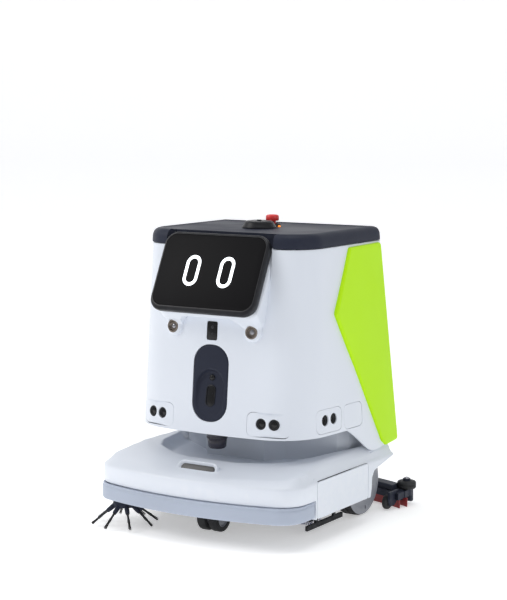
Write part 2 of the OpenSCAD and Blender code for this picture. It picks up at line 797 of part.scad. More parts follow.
module squeegee_body() color(NAVY) from_caster() {
    difference() {
        union() {
            squeegee_strip(squeegee_r - 32, squeegee_r + 9, 262, 22, 16);
            squeegee_strip(squeegee_r - 22, squeegee_r + 3, 128, 37, 12);
            translate([0, PORT_Y, 37]) cylinder(h = 27, r = 19);
            both_sides() {
                translate([WALL_ROLLER_X - 12, WALL_ROLLER_Y - 28, 22]) cube([22, 28, 16]);
                translate([WALL_ROLLER_X, WALL_ROLLER_Y, 22]) cylinder(h = 16, r = 12);
                translate([WALL_ROLLER_X, WALL_ROLLER_Y, 30]) cylinder(h = 29, r = 5);
                translate([WALL_ROLLER_X, WALL_ROLLER_Y, 58.6]) cylinder(h = 4.4, r = 9);
                along_x(6, 249) polygon([[372, 10], [388, 10], [401, 18], [401, 23], [410, 23], [410, 44],
                    [366, 44], [366, 26]]);
                translate([229, SUPPORT_Y, SUPPORT_R + 0.5]) rotate([0, 90, 0]) cylinder(h = 20, r = 4);
            }
        }
        translate([0, PORT_Y, 10]) cylinder(h = 60, r = 15);
    }
}

module squeegee_blades() color(RED) from_caster() {
    squeegee_strip(squeegee_r, squeegee_r + 3, 268, 0.6, 21.4);
    squeegee_strip(squeegee_r - 24, squeegee_r - 21, 260, 0.6, 21.4);
}

// The hose's centre line: up from the squeegee, forward over the arm and up into the body.
HOSE_BEND = 40;
HOSE_PATH = concat([[PORT_Y, 64]],
    [for (a = [0 : 15 : 90]) [PORT_Y - HOSE_BEND + HOSE_BEND * cos(a), 90 + HOSE_BEND * sin(a)]],
    [for (a = [0 : 15 : 90]) [PORT_Y - 63 - HOSE_BEND * sin(a), 130 + HOSE_BEND * (1 - cos(a))]],
    [[PORT_Y - 63 - HOSE_BEND, 205]]);

module suction_hose() color(BLACK) from_caster() {
    n = 16;
    last = len(HOSE_PATH) - 1;
    rings = [for (i = [0 : last]) let(
        step = HOSE_PATH[min(i + 1, last)] - HOSE_PATH[max(i - 1, 0)],
        t = step / norm(step)
    ) [for (k = [0 : n - 1]) let(u = 17 * cos(360 * k / n), v = 17 * sin(360 * k / n))
        [u, HOSE_PATH[i][0] + v * t[1], HOSE_PATH[i][1] - v * t[0]]]];
    points = [for (ring = rings, p = ring) p];
    sides = [for (i = [0 : last - 1], k = [0 : n - 1]) let(m = (k + 1) % n)
        [i * n + k, i * n + m, (i + 1) * n + m, (i + 1) * n + k]];
    polyhedron(points, concat(sides,
        [[for (k = [n - 1 : -1 : 0]) k]], [[for (k = [0 : n - 1]) last * n + k]]));
}

module squeegee_wheels() color(BLACK) from_caster() both_sides()
    translate([230, SUPPORT_Y, SUPPORT_R + 0.5]) rotate([0, 90, 0]) difference() {
        cylinder(h = 14, r = SUPPORT_R);
        translate([0, 0, -1]) cylinder(h = 16, r = 4 + FIT);
    }

module wall_roller() color(BLACK) from_caster() translate([WALL_ROLLER_X, WALL_ROLLER_Y, 39]) difference() {
    union() {
        cylinder(h = 19, r = squeegee_half - WALL_ROLLER_X - 2);
        translate([0, 0, 3]) cylinder(h = 13, r = squeegee_half - WALL_ROLLER_X);
    }
    translate([0, 0, -1]) cylinder(h = 21, r = 5 + FIT);
}
module wall_roller_left() wall_roller();
module wall_roller_right() mirror([1, 0, 0]) wall_roller();

chassis_frame();
base_cover();
base_pan();
sensor_well();
slot_window();
upper_shell();
rear_cover();
underside_pan();
side_panel_left();
side_panel_right();
screen_mount();
screen_housing();
screen_glass();
screen_eyes();
camera_window();
corner_lenses();
nose_panel();
nose_lenses();
sensor_plates();
ultrasonic_sensors();
lidar_body();
cliff_sensors();
clean_tank();
recovery_tank();
tank_caps();
battery_pack();
control_box();
vacuum_motor();
water_pump();
gear_motors();
side_brush_motor();
charge_contacts();
lid_shell();
lid_pins();
top_camera();
emergency_stop_base();
status_light();
emergency_stop_button();
tyre_left();
wheel_hub_left();
tyre_right();
wheel_hub_right();
caster_fork();
caster_wheels();
side_brush_hub();
side_brush_tufts();
brush_deck();
brush_motor();
side_skirts();
roller_core();
roller_bristles();
bumper();
brush_door();
squeegee_arm();
squeegee_body();
squeegee_blades();
suction_hose();
squeegee_wheels();
wall_roller_left();
wall_roller_right();
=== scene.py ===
"""The looks of the robotic floor cleaner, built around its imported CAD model.

Metres, +Z up, the front faces -Y. P(x, y, z) takes millimetres with y counted backwards from the front
caster, as in the CAD source.
"""
import math
import random

import bmesh
import bpy
import numpy as np
from mathutils import Matrix, Vector


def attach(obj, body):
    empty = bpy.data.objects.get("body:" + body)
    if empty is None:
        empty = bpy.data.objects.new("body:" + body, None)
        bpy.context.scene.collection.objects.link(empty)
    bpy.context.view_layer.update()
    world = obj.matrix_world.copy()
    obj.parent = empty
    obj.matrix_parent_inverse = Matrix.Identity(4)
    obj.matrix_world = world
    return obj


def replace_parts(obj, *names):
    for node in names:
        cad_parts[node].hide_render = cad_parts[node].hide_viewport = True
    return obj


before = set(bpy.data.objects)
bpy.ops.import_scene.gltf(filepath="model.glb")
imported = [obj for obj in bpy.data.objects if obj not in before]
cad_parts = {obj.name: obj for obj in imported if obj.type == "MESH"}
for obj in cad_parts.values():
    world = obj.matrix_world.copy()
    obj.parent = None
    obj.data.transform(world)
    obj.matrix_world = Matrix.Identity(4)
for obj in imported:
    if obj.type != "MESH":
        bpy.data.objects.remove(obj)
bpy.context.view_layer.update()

# ---------------------------------------------------------------- sizes in millimetres, angles in degrees
CASTER_Y = -173.5
BODY_Z, BODY_TOP_Z = 223.0, 635.0
FRONT_Y, TOP_FRONT_Y = -24.0, 11.0
REAR_Y, TOP_REAR_Y = 396.0, 372.0
LID_Z, LID_TOP_Z = 637.0, 669.0
BASE_HALF, BASE_Z, BASE_FRONT_Y, BASE_REAR_Y = 262.0, 58.0, -126.0, 372.0
CREST_Z, WELL_Z = 142.0, 150.0
SCREEN_Y, SCREEN_Z, SCREEN_TILT = -19.0, 585.0, 26.0
WHEEL_Y, WHEEL_X = 302.0, 195.0
BRUSH_X, BRUSH_Y = -197.0, -68.0
SQUEEGEE_R, SQUEEGEE_Y = 597.0, 485.0
ROLLER_X, ROLLER_Y = 253.5, 448
DOME_Y, STOP_Y = 190, 248
NOSE_Z, CAMERA_Z = 336, 452
POD_X, POD_Z = 103, 455
FRONT_PLATE, FLANK_PLATE, BLANK_PLATE = (146, 255), (110, 256), (203, 254)
DOOR_Y, DOOR_Z = 124, 95
FRONT_R, TOP_R, BASE_R = 1100, 800, 812
BODY_HALF, TOP_HALF, BODY_FLARE, FLARE_LENGTH = 246, 217, 24, 240
LEAN = math.degrees(math.atan((TOP_FRONT_Y - FRONT_Y) / (BODY_TOP_Z - BODY_Z)))


def P(x, y, z):
    return Vector((x / 1000, (y + CASTER_Y) / 1000, z / 1000))


# ---------------------------------------------------------------- materials
class Mat:
    """A node material with a Principled shader, and the slot of the pieces made of it."""

    def __init__(self, name, colour, rough=0.4, metal=0.0, slot=None, **sockets):
        self.slot = slot or name
        self.m = bpy.data.materials.new(name)
        self.m.use_nodes = True
        self.n = self.m.node_tree.nodes
        self.l = self.m.node_tree.links
        self.b = self.n["Principled BSDF"]
        self.b.inputs["Base Color"].default_value = (*colour, 1)
        self.b.inputs["Roughness"].default_value = rough
        self.b.inputs["Metallic"].default_value = metal
        self.colour, self.rough = colour, rough
        for key, value in sockets.items():
            self.b.inputs[key.replace("_", " ")].default_value = value
        self.coord = self.n.new("ShaderNodeTexCoord").outputs["Object"]

    def node(self, kind, inputs, **props):
        """Makes a node; each input is a number, a colour or a socket to link."""
        made = self.n.new("ShaderNode" + kind)
        for key, value in props.items():
            setattr(made, key, value)
        for key, value in inputs.items():
            if hasattr(value, "links"):
                self.l.new(value, made.inputs[key])
            else:
                made.inputs[key].default_value = value
        return made

    def noise(self, scale, detail=2.0):
        return self.node("TexNoise", {"Vector": self.coord, "Scale": scale,
            "Detail": detail}).outputs["Fac"]

    def ranged(self, source, low, high, start=0.35, end=0.65):
        inputs = {"Value": source, "From Min": start, "From Max": end, "To Min": low, "To Max": high}
        return self.node("MapRange", inputs).outputs["Result"]

    def mix(self, fac, *colours):
        a, b = (c if hasattr(c, "links") else (*c, 1) for c in colours)
        return self.node("Mix", {0: fac, 6: a, 7: b}, data_type="RGBA").outputs[2]

    def product(self, a, b):
        return self.node("Math", {0: a, 1: b}, operation="MULTIPLY").outputs[0]

    def finish(self, grain, strength, vary=0.06, wear=0.25, tint=0.04):
        """Fine moulded grain, slow roughness and colour variation, and paler worn edges."""
        rough = self.ranged(self.noise(7.0), self.rough - vary, self.rough + vary)
        self.l.new(rough, self.b.inputs["Roughness"])
        dark = tuple(c * (1 - tint) for c in self.colour)
        light = tuple(min(1.0, c * (1 + tint) + tint * 0.02) for c in self.colour)
        colour = self.mix(self.ranged(self.noise(3.0), 0, 1), dark, light)
        if wear:
            edge = self.ranged(self.n.new("ShaderNodeNewGeometry").outputs["Pointiness"], 0, 1, 0.515, 0.56)
            edge = self.product(edge, self.ranged(self.noise(60.0, 4.0), 0, 1, 0.42, 0.6))
            worn = tuple(min(1.0, c * 1.35 + 0.04) for c in self.colour)
            colour = self.mix(self.product(edge, wear), colour, worn)
        self.l.new(colour, self.b.inputs["Base Color"])
        bump = self.node("Bump", {"Height": self.noise(grain), "Strength": strength, "Distance": 0.0002})
        self.l.new(bump.outputs["Normal"], self.b.inputs["Normal"])
        return self


def lum(*rgb):
    """An sRGB colour as linear numbers."""
    return tuple(c / 12.92 if c <= 0.04045 else ((c + 0.055) / 1.055) ** 2.4 for c in rgb)


WHITE = Mat("white_shell", lum(0.905, 0.925, 0.96), 0.34, Coat_Weight=0.15,
    Coat_Roughness=0.25).finish(1400, 0.05, vary=0.04, wear=0.1, tint=0.012)
NAVY = Mat("navy_plastic", lum(0.165, 0.18, 0.235), 0.5, Specular_IOR_Level=0.16).finish(1500, 0.25,
    wear=0.3)
NAVY_DARK = Mat("navy_dark_plastic", lum(0.085, 0.088, 0.11), 0.4, slot="dark_plastic",
    Specular_IOR_Level=0.35).finish(1200, 0.2)
LIME = Mat("lime_plastic", lum(0.76, 0.97, 0.06), 0.42, Specular_IOR_Level=0.2).finish(1400, 0.06,
    vary=0.04, wear=0.12, tint=0.02)
BLUE_GREY = Mat("bumper_rubber", lum(0.70, 0.735, 0.80), 0.5, slot="soft_grey_plastic").finish(1000, 0.3,
    wear=0.2)
# Painted shade: the well's wall and the body's underside are white, and this grey paints the shade that
# falls on them under the upper body.
PAINTED_SHADE_GREY = Mat("painted_shade_grey", lum(0.78, 0.80, 0.835), 0.5).finish(1000, 0.15, wear=0.0)
DARK = Mat("dark_plastic", lum(0.135, 0.138, 0.15), 0.5, Specular_IOR_Level=0.4).finish(900, 0.3, wear=0.3)
SLOT_GREY = Mat("slot_window_grey", lum(0.28, 0.28, 0.285), 0.3, slot="screen_glass",
    Specular_IOR_Level=0.35).finish(900, 0.05, wear=0)
GLASS = Mat("screen_glass", lum(0.085, 0.083, 0.09), 0.42, Specular_IOR_Level=0.05)
GLASS.finish(40, 0.0, vary=0.02, wear=0, tint=0.02)
LENS = Mat("dark_lens", lum(0.05, 0.05, 0.058), 0.14, slot="dark_plastic", Specular_IOR_Level=0.4)
LENS.finish(60, 0.0, vary=0.02, wear=0, tint=0.1)
LIDAR = Mat("lidar_window", lum(0.15, 0.145, 0.195), 0.24, slot="dark_plastic", Specular_IOR_Level=0.45)
LIDAR.finish(400, 0.03, vary=0.03, wear=0, tint=0.05)
LENS_RING = Mat("lens_ring_metal", lum(0.50, 0.465, 0.43), 0.32, 0.7, slot="lens_metal").finish(700, 0.1,
    wear=0.3)
RUBBER = Mat("black_rubber", lum(0.15, 0.153, 0.162), 0.72, Specular_IOR_Level=0.35).finish(500, 0.4,
    vary=0.08, wear=0.45, tint=0.1)
HUB = Mat("hub_plastic", lum(0.56, 0.57, 0.60), 0.42).finish(900, 0.2, wear=0.35)
STEEL = Mat("coated_steel", lum(0.45, 0.46, 0.48), 0.42, 0.6).finish(700, 0.25, wear=0.5)
BOLT = Mat("bolt_steel", lum(0.62, 0.62, 0.64), 0.3, 0.95, slot="motor_metal").finish(500, 0.15, wear=0.4)
MOTOR = Mat("cast_aluminium", lum(0.60, 0.61, 0.63), 0.45, 0.8).finish(350, 0.4, wear=0.4)
BRASS = Mat("contact_brass", lum(0.83, 0.66, 0.36), 0.28, 0.9).finish(500, 0.1, wear=0.5)
RED = Mat("emergency_red", lum(0.95, 0.22, 0.22), 0.32, slot="red_plastic", Coat_Weight=0.3,
    Coat_Roughness=0.2).finish(900, 0.06, wear=0.2)
BLADE = Mat("red_polyurethane", lum(0.55, 0.09, 0.11), 0.45).finish(500, 0.2, wear=0.3)
TANK = Mat("tank_plastic", lum(0.80, 0.84, 0.88), 0.4, Subsurface_Weight=0.15).finish(300, 0.15, wear=0.1)
BATTERY = Mat("battery_case", lum(0.16, 0.165, 0.18), 0.55).finish(700, 0.3, wear=0.4)
FILAMENT = Mat("black_filament", lum(0.10, 0.10, 0.11), 0.5, slot="black_bristles").finish(300, 0.1,
    wear=0, tint=0.25)
BLUE_FILAMENT = Mat("blue_filament", lum(0.20, 0.27, 0.52), 0.5, slot="blue_bristles").finish(300, 0.1,
    wear=0, tint=0.25)
EYE = Mat("eye_light", (0.9, 0.95, 1.0), 0.4, slot="screen_light", Emission_Color=(0.92, 0.96, 1.0, 1),
    Emission_Strength=1.6)
EYE.finish(200, 0.0, vary=0.02, wear=0, tint=0.01)
AMBER = Mat("amber_light", lum(0.95, 0.45, 0.1), 0.3, Emission_Color=(1.0, 0.3, 0.03, 1),
    Emission_Strength=1.2)
AMBER.finish(200, 0.0, vary=0.02, wear=0, tint=0.02)


# ---------------------------------------------------------------- shapes
def link(obj):
    bpy.context.scene.collection.objects.link(obj)
    return obj


def circle(r, n):
    return [(r * math.cos(2 * math.pi * k / n), r * math.sin(2 * math.pi * k / n)) for k in range(n)]


def mesh(name, verts, faces, material=None, body=None, angle=35, replaced=(), slot=None):
    """A mesh from points in the part's millimetres, which rides on a body and stands for CAD nodes."""
    data = bpy.data.meshes.new(name)
    data.from_pydata([P(*v) for v in verts], [], [list(f) for f in faces])
    tidy = bmesh.new()
    tidy.from_mesh(data)
    bmesh.ops.remove_doubles(tidy, verts=tidy.verts, dist=2e-5)
    bmesh.ops.recalc_face_normals(tidy, faces=tidy.faces)
    tidy.to_mesh(data)
    tidy.free()
    obj = link(bpy.data.objects.new(name, data))
    if material:
        data.materials.append(material.m)
        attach(obj, body)
        if replaced:
            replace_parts(obj, *replaced)
    return shade(obj, angle)


def shade(obj, angle=35):
    obj.data.polygons.foreach_set("use_smooth", [True] * len(obj.data.polygons))
    obj.data.set_sharp_from_angle(angle=math.radians(angle))
    return obj


def settle(obj, angle=35):
    """Applies the modifiers."""
    deps = bpy.context.evaluated_depsgraph_get()
    data = bpy.data.meshes.new_from_object(obj.evaluated_get(deps))
    obj.modifiers.clear()
    obj.data = data
    return shade(obj, angle)


def cut(obj, cutters, operation="DIFFERENCE", angle=35):
    for cutter in cutters:
        mod = obj.modifiers.new("cut", "BOOLEAN")
        mod.operation, mod.solver, mod.object = operation, "MANIFOLD", cutter
    bpy.context.view_layer.update()
    settle(obj, angle)
    for cutter in cutters:
        bpy.data.objects.remove(cutter)
    return obj


def bevel(obj, width, segments=2, angle=38):
    mod = obj.modifiers.new("edges", "BEVEL")
    mod.width, mod.segments = width / 1000, segments
    mod.limit_method, mod.angle_limit = "ANGLE", math.radians(angle)
    mod.harden_normals = True
    return obj


def thicken(obj, thickness):
    mod = obj.modifiers.new("wall", "SOLIDIFY")
    mod.thickness, mod.offset, mod.use_even_offset = thickness / 1000, -1, True
    return obj


def loft(rings, closed=True, caps=False):
    """Joins rings of equal numbers of points with faces."""
    count = len(rings[0])
    verts = [p for ring in rings for p in ring]
    faces = []
    for i in range(len(rings) - 1):
        for j in range(count if closed else count - 1):
            k = (j + 1) % count
            faces.append((i * count + j, i * count + k, (i + 1) * count + k, (i + 1) * count + j))
    if caps:
        faces.append(tuple(range(count)))
        faces.append(tuple(range((len(rings) - 1) * count, len(rings) * count)))
    return verts, faces


def solid(name, rings, *rest, **more):
    return mesh(name, *loft(rings, caps=True), *rest, **more)


def rx(angle):
    return Matrix.Rotation(math.radians(angle), 4, "X")


def ry(angle):
    return Matrix.Rotation(math.radians(angle), 4, "Y")


def rz(angle):
    return Matrix.Rotation(math.radians(angle), 4, "Z")


def at(x, y, z):
    return Matrix.Translation((x, y, z))


def placed(matrix, points):
    return [tuple(matrix @ Vector(p)) for p in points]


def rounded(w, h, r, n=8):
    """A rounded rectangle's outline."""
    points = []
    r = min(r, w / 2, h / 2)
    for quarter, (sx, sy) in enumerate(((1, 1), (-1, 1), (-1, -1), (1, -1))):
        for i in range(n + 1):
            a = math.radians(90 * (quarter + i / n))
            points.append((sx * (w / 2 - r) + r * math.cos(a), sy * (h / 2 - r) + r * math.sin(a)))
    return points


def prism_rings(outline, levels, matrix):
    """Rings of an outline; each level is (height, inset as an outline of its own or None)."""
    return [placed(matrix, [(x, y, z) for x, y in (shape or outline)]) for z, shape in levels]


def cutter(w, h, r, depth, matrix, back=None):
    outline = rounded(w, h, r)
    low = -depth if back is None else back
    rings = prism_rings(outline, ((low, None), (depth, None)), matrix)
    return solid("cutter", rings)


def prism_x(points, x0, x1):
    """A cutter with a (y, z) outline, from one x to another."""
    return solid("cutter", [[(x, y, z) for y, z in points] for x in (x0, x1)])


def box(x0, x1, y0, y1, z0, z1):
    corners = ((x0, y0), (x1, y0), (x1, y1), (x0, y1))
    return solid("cutter", [[(x, y, z) for x, y in corners] for z in (z0, z1)])


def plate(name, w, h, r, top, bottom, edge, matrix, material, body, replaced=()):
    """A rounded rectangular block with softened front edges."""
    levels = [(bottom, None)]
    for a in (0, math.pi / 6, math.pi / 3, math.pi / 2):
        inset = edge * (1 - math.cos(a))
        levels.append((top - edge + edge * math.sin(a), rounded(w - 2 * inset, h - 2 * inset,
            max(r - inset, 0.3))))
    rings = prism_rings(rounded(w, h, r), levels, matrix)
    return solid(name, rings, material, body, 30, replaced)


def lathe(name, profile, matrix, material=None, body=None, replaced=(), n=48, slot=None):
    """A profile of (radius, height) turned about the matrix's z axis."""
    rings = [placed(matrix, [(x, y, z) for x, y in circle(max(r, 0.001), n)]) for r, z in profile]
    return mesh(name, *loft(rings), material, body, 35, replaced, slot)


def symmetric(half, width, middle=()):
    """A profile and its mirror image across the middle of a width."""
    return [*half, *middle, *((r, width - z, *rest) for r, z, *rest in reversed(half))]


def join(name, pieces):
    """Joins pieces of one body and one slot into the first."""
    base = pieces[0]
    whole = bmesh.new()
    for piece in pieces:
        whole.from_mesh(piece.data)
    data = bpy.data.meshes.new(name)
    whole.to_mesh(data)
    whole.free()
    for material in base.data.materials:
        data.materials.append(material)
    base.data = data
    base.name = name
    for piece in pieces[1:]:
        bpy.data.objects.remove(piece)
    return shade(base)


# ---------------------------------------------------------------- the outlines seen from above
def plan(front, half, big_r, r, rear, inset=0.0, flare=0.0, rear_r=3.0):
    """Half an outline, from the front's middle to the rear's middle, as in the CAD model."""
    length = float(FLARE_LENGTH)
    a = Vector((half - flare, front))
    d = (Vector((half, front + length)) - a).normalized()
    n = Vector((d.y, -d.x))
    centre = Vector((0, front + big_r))
    start = a - n * r - centre
    t = -start.dot(d) - math.sqrt(start.dot(d) ** 2 - start.length_squared + (big_r - r) ** 2)
    fillet = centre + start + d * t
    first = math.atan2(fillet.x, centre.y - fillet.y)
    last = math.acos(d.x)
    points = []

    def add(c, radius, angle):
        way = Vector((math.sin(angle), -math.cos(angle)))
        points.append(c + way * (radius - inset))

    for i in range(21):
        add(centre, big_r, first * i / 20)
    for i in range(1, 15):
        add(fillet, r, first + (last - first) * i / 14)
    side_y = fillet.y + n.y * r
    for i in range(1, 25):
        y = side_y + (rear - max(rear_r, inset) - side_y) * i / 24
        x = half - flare * max(0, front + length - y) / length
        points.append(Vector((x - inset, y)))
    reach = max(rear_r, inset)
    for i in range(1, 4):
        add(Vector((half - reach, rear - reach)), reach, math.pi / 2 * (1 + i / 4))
    for x in (half - reach - 0.2, half - reach - 0.6):
        points.append(Vector((x, rear - inset)))
    for i in range(1, 11):
        points.append(Vector(((half - reach - 0.6) * (1 - i / 10), rear - inset)))
    return points


def whole(half_ring):
    return half_ring + [Vector((-p.x, p.y)) for p in reversed(half_ring[1:-1])]


def body_ring(z, inset=0.0):
    t = (z - BODY_Z) / (BODY_TOP_Z - BODY_Z)
    low = whole(plan(FRONT_Y, BODY_HALF, FRONT_R, 115, REAR_Y, inset, BODY_FLARE))
    high = whole(plan(TOP_FRONT_Y, TOP_HALF, TOP_R, 78, TOP_REAR_Y, inset))
    return [a.lerp(b, t) for a, b in zip(low, high)]


def arc(radius, x):
    """How far an arc has fallen back at x."""
    return radius - math.sqrt(radius ** 2 - x * x)


def front_y(x, z):
    return FRONT_Y + (z - BODY_Z) * math.tan(math.radians(LEAN)) + arc(FRONT_R, x)


def on_front(x, z, proud=0.0):
    return at(x, front_y(x, z), z) @ rx(90 - LEAN) @ ry(math.degrees(math.asin(x / FRONT_R))) @ at(0, 0,
        proud)


SIDE_LEAN = math.degrees(math.atan((BODY_HALF - TOP_HALF) / (BODY_TOP_Z - BODY_Z)))
REAR_LEAN = math.degrees(math.atan((REAR_Y - TOP_REAR_Y) / (BODY_TOP_Z - BODY_Z)))
TURN = math.degrees(math.atan(BODY_FLARE / FLARE_LENGTH))


def flank_x(y, z):
    return (BODY_HALF - max(0, FRONT_Y + FLARE_LENGTH - y) * math.tan(math.radians(TURN)) - (z - BODY_Z)
        * math.tan(math.radians(SIDE_LEAN)))


def on_flank(y, z, side):
    turned = rz(-TURN) @ rz(90) if side > 0 else rz(TURN) @ rz(-90)
    return at(side * flank_x(y, z), y, z) @ turned @ rx(90 - SIDE_LEAN)


def on_screen():
    return at(0, SCREEN_Y, SCREEN_Z) @ rx(90 - SCREEN_TILT)


def wall_y(x, z):
    """How far back the front wall is, round its corners too."""
    ring = body_ring(z)[:36]
    return float(np.interp(abs(x), [p.x for p in ring], [p.y for p in ring]))


def wall_x(y, z):
    """How far out the side wall is, round its front corner too."""
    ring = body_ring(z)[20:58]
    return float(np.interp(y, [p.y for p in ring], [p.x for p in ring]))


def on_rear(z):
    y = REAR_Y - (z - BODY_Z) * math.tan(math.radians(REAR_LEAN))
    return at(0, y, z) @ rz(180) @ rx(90 - REAR_LEAN)


SIDES = (("left", 1), ("right", -1))


# ---------------------------------------------------------------- the upper body
def leg_edge(y):
    """The leg's lower edge, which leaves the body and levels out in soft curves."""
    return float(np.interp(y, (164, 176, 188, 200, 246, 258, 270, 284, 300, 340, 410),
        (BODY_Z, 221.6, 216, 208.5, 177, 169, 163, 159.5, 158.8, 163, 167)))


def make_upper_body():
    """The white shell: a lofted wall whose lower edge runs down into two legs."""
    low = body_ring(BODY_Z)
    edge = [leg_edge(p.y) if p.y > 164 and abs(p.x) > 242.7 else BODY_Z for p in low]
    rings = []
    for s in (0, 0.25, 0.5, 0.75):
        ring = []
        for p, z_low in zip(low, edge):
            z = z_low + (BODY_Z - z_low) * s
            out = math.copysign((BODY_Z - z) * 5 / 73, p.x)
            ring.append((p.x + out, p.y, z))
        rings.append(ring)
    for z in list(np.linspace(BODY_Z, BODY_TOP_Z, 30)) + [BODY_TOP_Z + 0.8]:
        inset = 0 if z <= BODY_TOP_Z else 1.2
        rings.append([(p.x, p.y, z) for p in body_ring(float(z), inset)])
    body = mesh("upper_body", *loft(rings), WHITE, "base", 35, ("upper_shell",))
    thicken(body, 3.5)
    settle(body)
    cutters = [cutter(93, 172, 42, 18, on_front(0, NOSE_Z)), cutter(28, 42, 4, 12, on_front(0, CAMERA_Z)),
        cutter(342, 402, 20, 12, on_rear(410)),]
    for _, side in SIDES:
        cutters.append(cutter(98, 54, 14, 30, on_front(side * FRONT_PLATE[0], FRONT_PLATE[1])))
        cutters.append(cutter(94, 54, 14, 20, on_flank(*FLANK_PLATE, side)))
        cutters.append(cutter(76, 56, 14, 20, on_flank(*BLANK_PLATE, side)))
        cutters.append(cutter(30, 30, 15, 20, on_front(side * POD_X, POD_Z)))
    cutters.append(cutter(276, 184, 22, 10, on_screen(), -40))
    cut(body, cutters)
    bevel(body, 0.9, 2, 40)


def make_sensor_plates():
    """Plates that follow the wall with a thin gap around them; four of the six have two round holes."""
    for name, side in SIDES:
        for place, w, h in (("front", 96.2, 52.6), ("flank", 92.2, 52.6), ("blank", 74.4, 54.4)):
            outline = rounded(w, h, 13.6, 10)

            def on_wall(x, y):
                if place == "front":
                    px, pz = side * FRONT_PLATE[0] + x, FRONT_PLATE[1] + y
                    return (px, wall_y(px, pz) + 0.2, pz)
                middle = FLANK_PLATE if place == "flank" else BLANK_PLATE
                py, pz = middle[0] + x, middle[1] + y
                return (side * (wall_x(py, pz) - 0.2), py, pz)

            rings = [[on_wall(x * (k / 12), y * (k / 12)) for x, y in outline] for k in range(13)]
            piece = mesh(f"sensor_plate_{place}_{name}", *loft(rings), WHITE, "base")
            thicken(piece, 3.0)
            settle(piece)
            holes = []
            for d, tag in ((-15, "a"), (15, "b")) if place != "blank" else ():
                if place == "front":
                    spot = on_front(side * (FRONT_PLATE[0] + d), FRONT_PLATE[1] + 2)
                else:
                    spot = on_flank(FLANK_PLATE[0] + d + d / 15, FLANK_PLATE[1] + 2, side)
                holes.append(cutter(25, 25, 12.5, 12, spot))
                lathe(f"sensor_{place}_{name}_{tag}", ((0, -7.5), (7.6, -7.5), (8.6, -6.0), (10.2, -4.2),
                    (11.6, -4.0), (12.2, -4.6), (12.2, -16), (0, -16)), spot, DARK, "base")
                lathe(f"sensor_face_{place}_{name}_{tag}", ((0, -6.3), (4.0, -6.4), (7.0, -7.0),
                    (7.4, -7.6), (0, -7.7)), spot, LENS, "base")
            cut(piece, holes)
            bevel(piece, 0.6, 2, 40)
            if place == "front" and side > 0:
                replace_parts(piece, "sensor_plates", "ultrasonic_sensors")


def make_side_panels():
    """The lime panels: an outline with rounded corners, proud of the wall, with a broad soft edge."""
    corners = [(218, 630), (366, 632), (398, 168), (340, 163), (322, 176), (142, 488)]
    outline = []
    for i, corner in enumerate(corners):
        here, before, after = Vector(corner), Vector(corners[i - 1]), Vector(corners[(i + 1) % 6])
        a, b = (before - here).normalized(), (after - here).normalized()
        half = a.angle(b) / 2
        radius = min(9, 0.4 * math.tan(half) * min((before - here).length, (after - here).length))
        reach = radius / math.tan(half)
        centre = here + (a + b).normalized() * radius / math.sin(half)
        first, last = here + a * reach - centre, here + b * reach - centre
        for k in range(9):
            outline.append(centre + first.lerp(last, k / 8).normalized() * radius)
    middle = Vector((270, 400))

    def inset_by(amount):
        ring = []
        count = len(outline)
        for i, p in enumerate(outline):
            tangent = (outline[(i + 1) % count] - outline[i - 1]).normalized()
            normal = Vector((tangent.y, -tangent.x))
            if normal.dot(middle - p) < 0:
                normal = -normal
            ring.append(p + normal * amount)
        return ring

    for name, side in SIDES:
        rings = []
        for proud, inset in ((-2.5, 0), (2.4, 0), (3.8, 0.4), (5.2, 1.5), (6.0, 3.2), (6.3, 5.2), (6.4, 8)):
            rings.append([(side * (251 - (p.y - 150) * 34 / 485 + proud), p.x, p.y)
                for p in inset_by(inset)])
        piece = solid(f"side_panel_{name}_skin", rings, LIME, "base", 50, (f"side_panel_{name}",))
        piece.data.set_sharp_from_angle(angle=math.radians(60))


# ---------------------------------------------------------------- the screen and its mount
def make_screen():
    m = on_screen()

    def chin(w, h, r, drop):
        return [(x, y - (drop if y < 0 else 0)) for x, y in rounded(w, h, r, 10)]

    outline = chin(274, 182, 31, 5)
    levels = ((-37, chin(240, 152, 20, 0)), (-34, chin(248, 160, 22, 0)), (-22, chin(268, 177, 28, 3)),
        (-15, chin(273, 181, 30.5, 4.6)), (-6, None), (-3, chin(272.6, 180.6, 30.4, 4.4)),
        (-1, chin(269.4, 177.4, 28.5, 1.6)), (-0.2, rounded(266, 174, 27, 10)),
        (-0.2, rounded(262.6, 170.6, 25.4, 10)), (-1.2, rounded(262, 170, 25.2, 10)),
        (-4, rounded(262, 170, 25, 10)))
    solid("screen_frame", prism_rings(outline, levels, m), NAVY_DARK, "base", 30, ("screen_housing",))
    plate("screen_face", 261, 169, 24.6, -0.5, -3.8, 0.5, m, GLASS, "base", ("screen_glass",))
    eyes = []
    for x in (-44, 45):
        outer, inner = rounded(38, 72, 19, 12), rounded(23, 57, 11.4, 12)
        spot = m @ at(x, 0, 0)
        rings = [placed(spot, [(a, b, z) for a, b in ring]) for ring, z in ((outer, -1.4), (outer, -0.34),
            (inner, -0.34), (inner, -1.4))]
        eyes.append(mesh("eye", *loft(rings), EYE, "base"))
    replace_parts(join("screen_eye_rings", eyes), "screen_eyes")


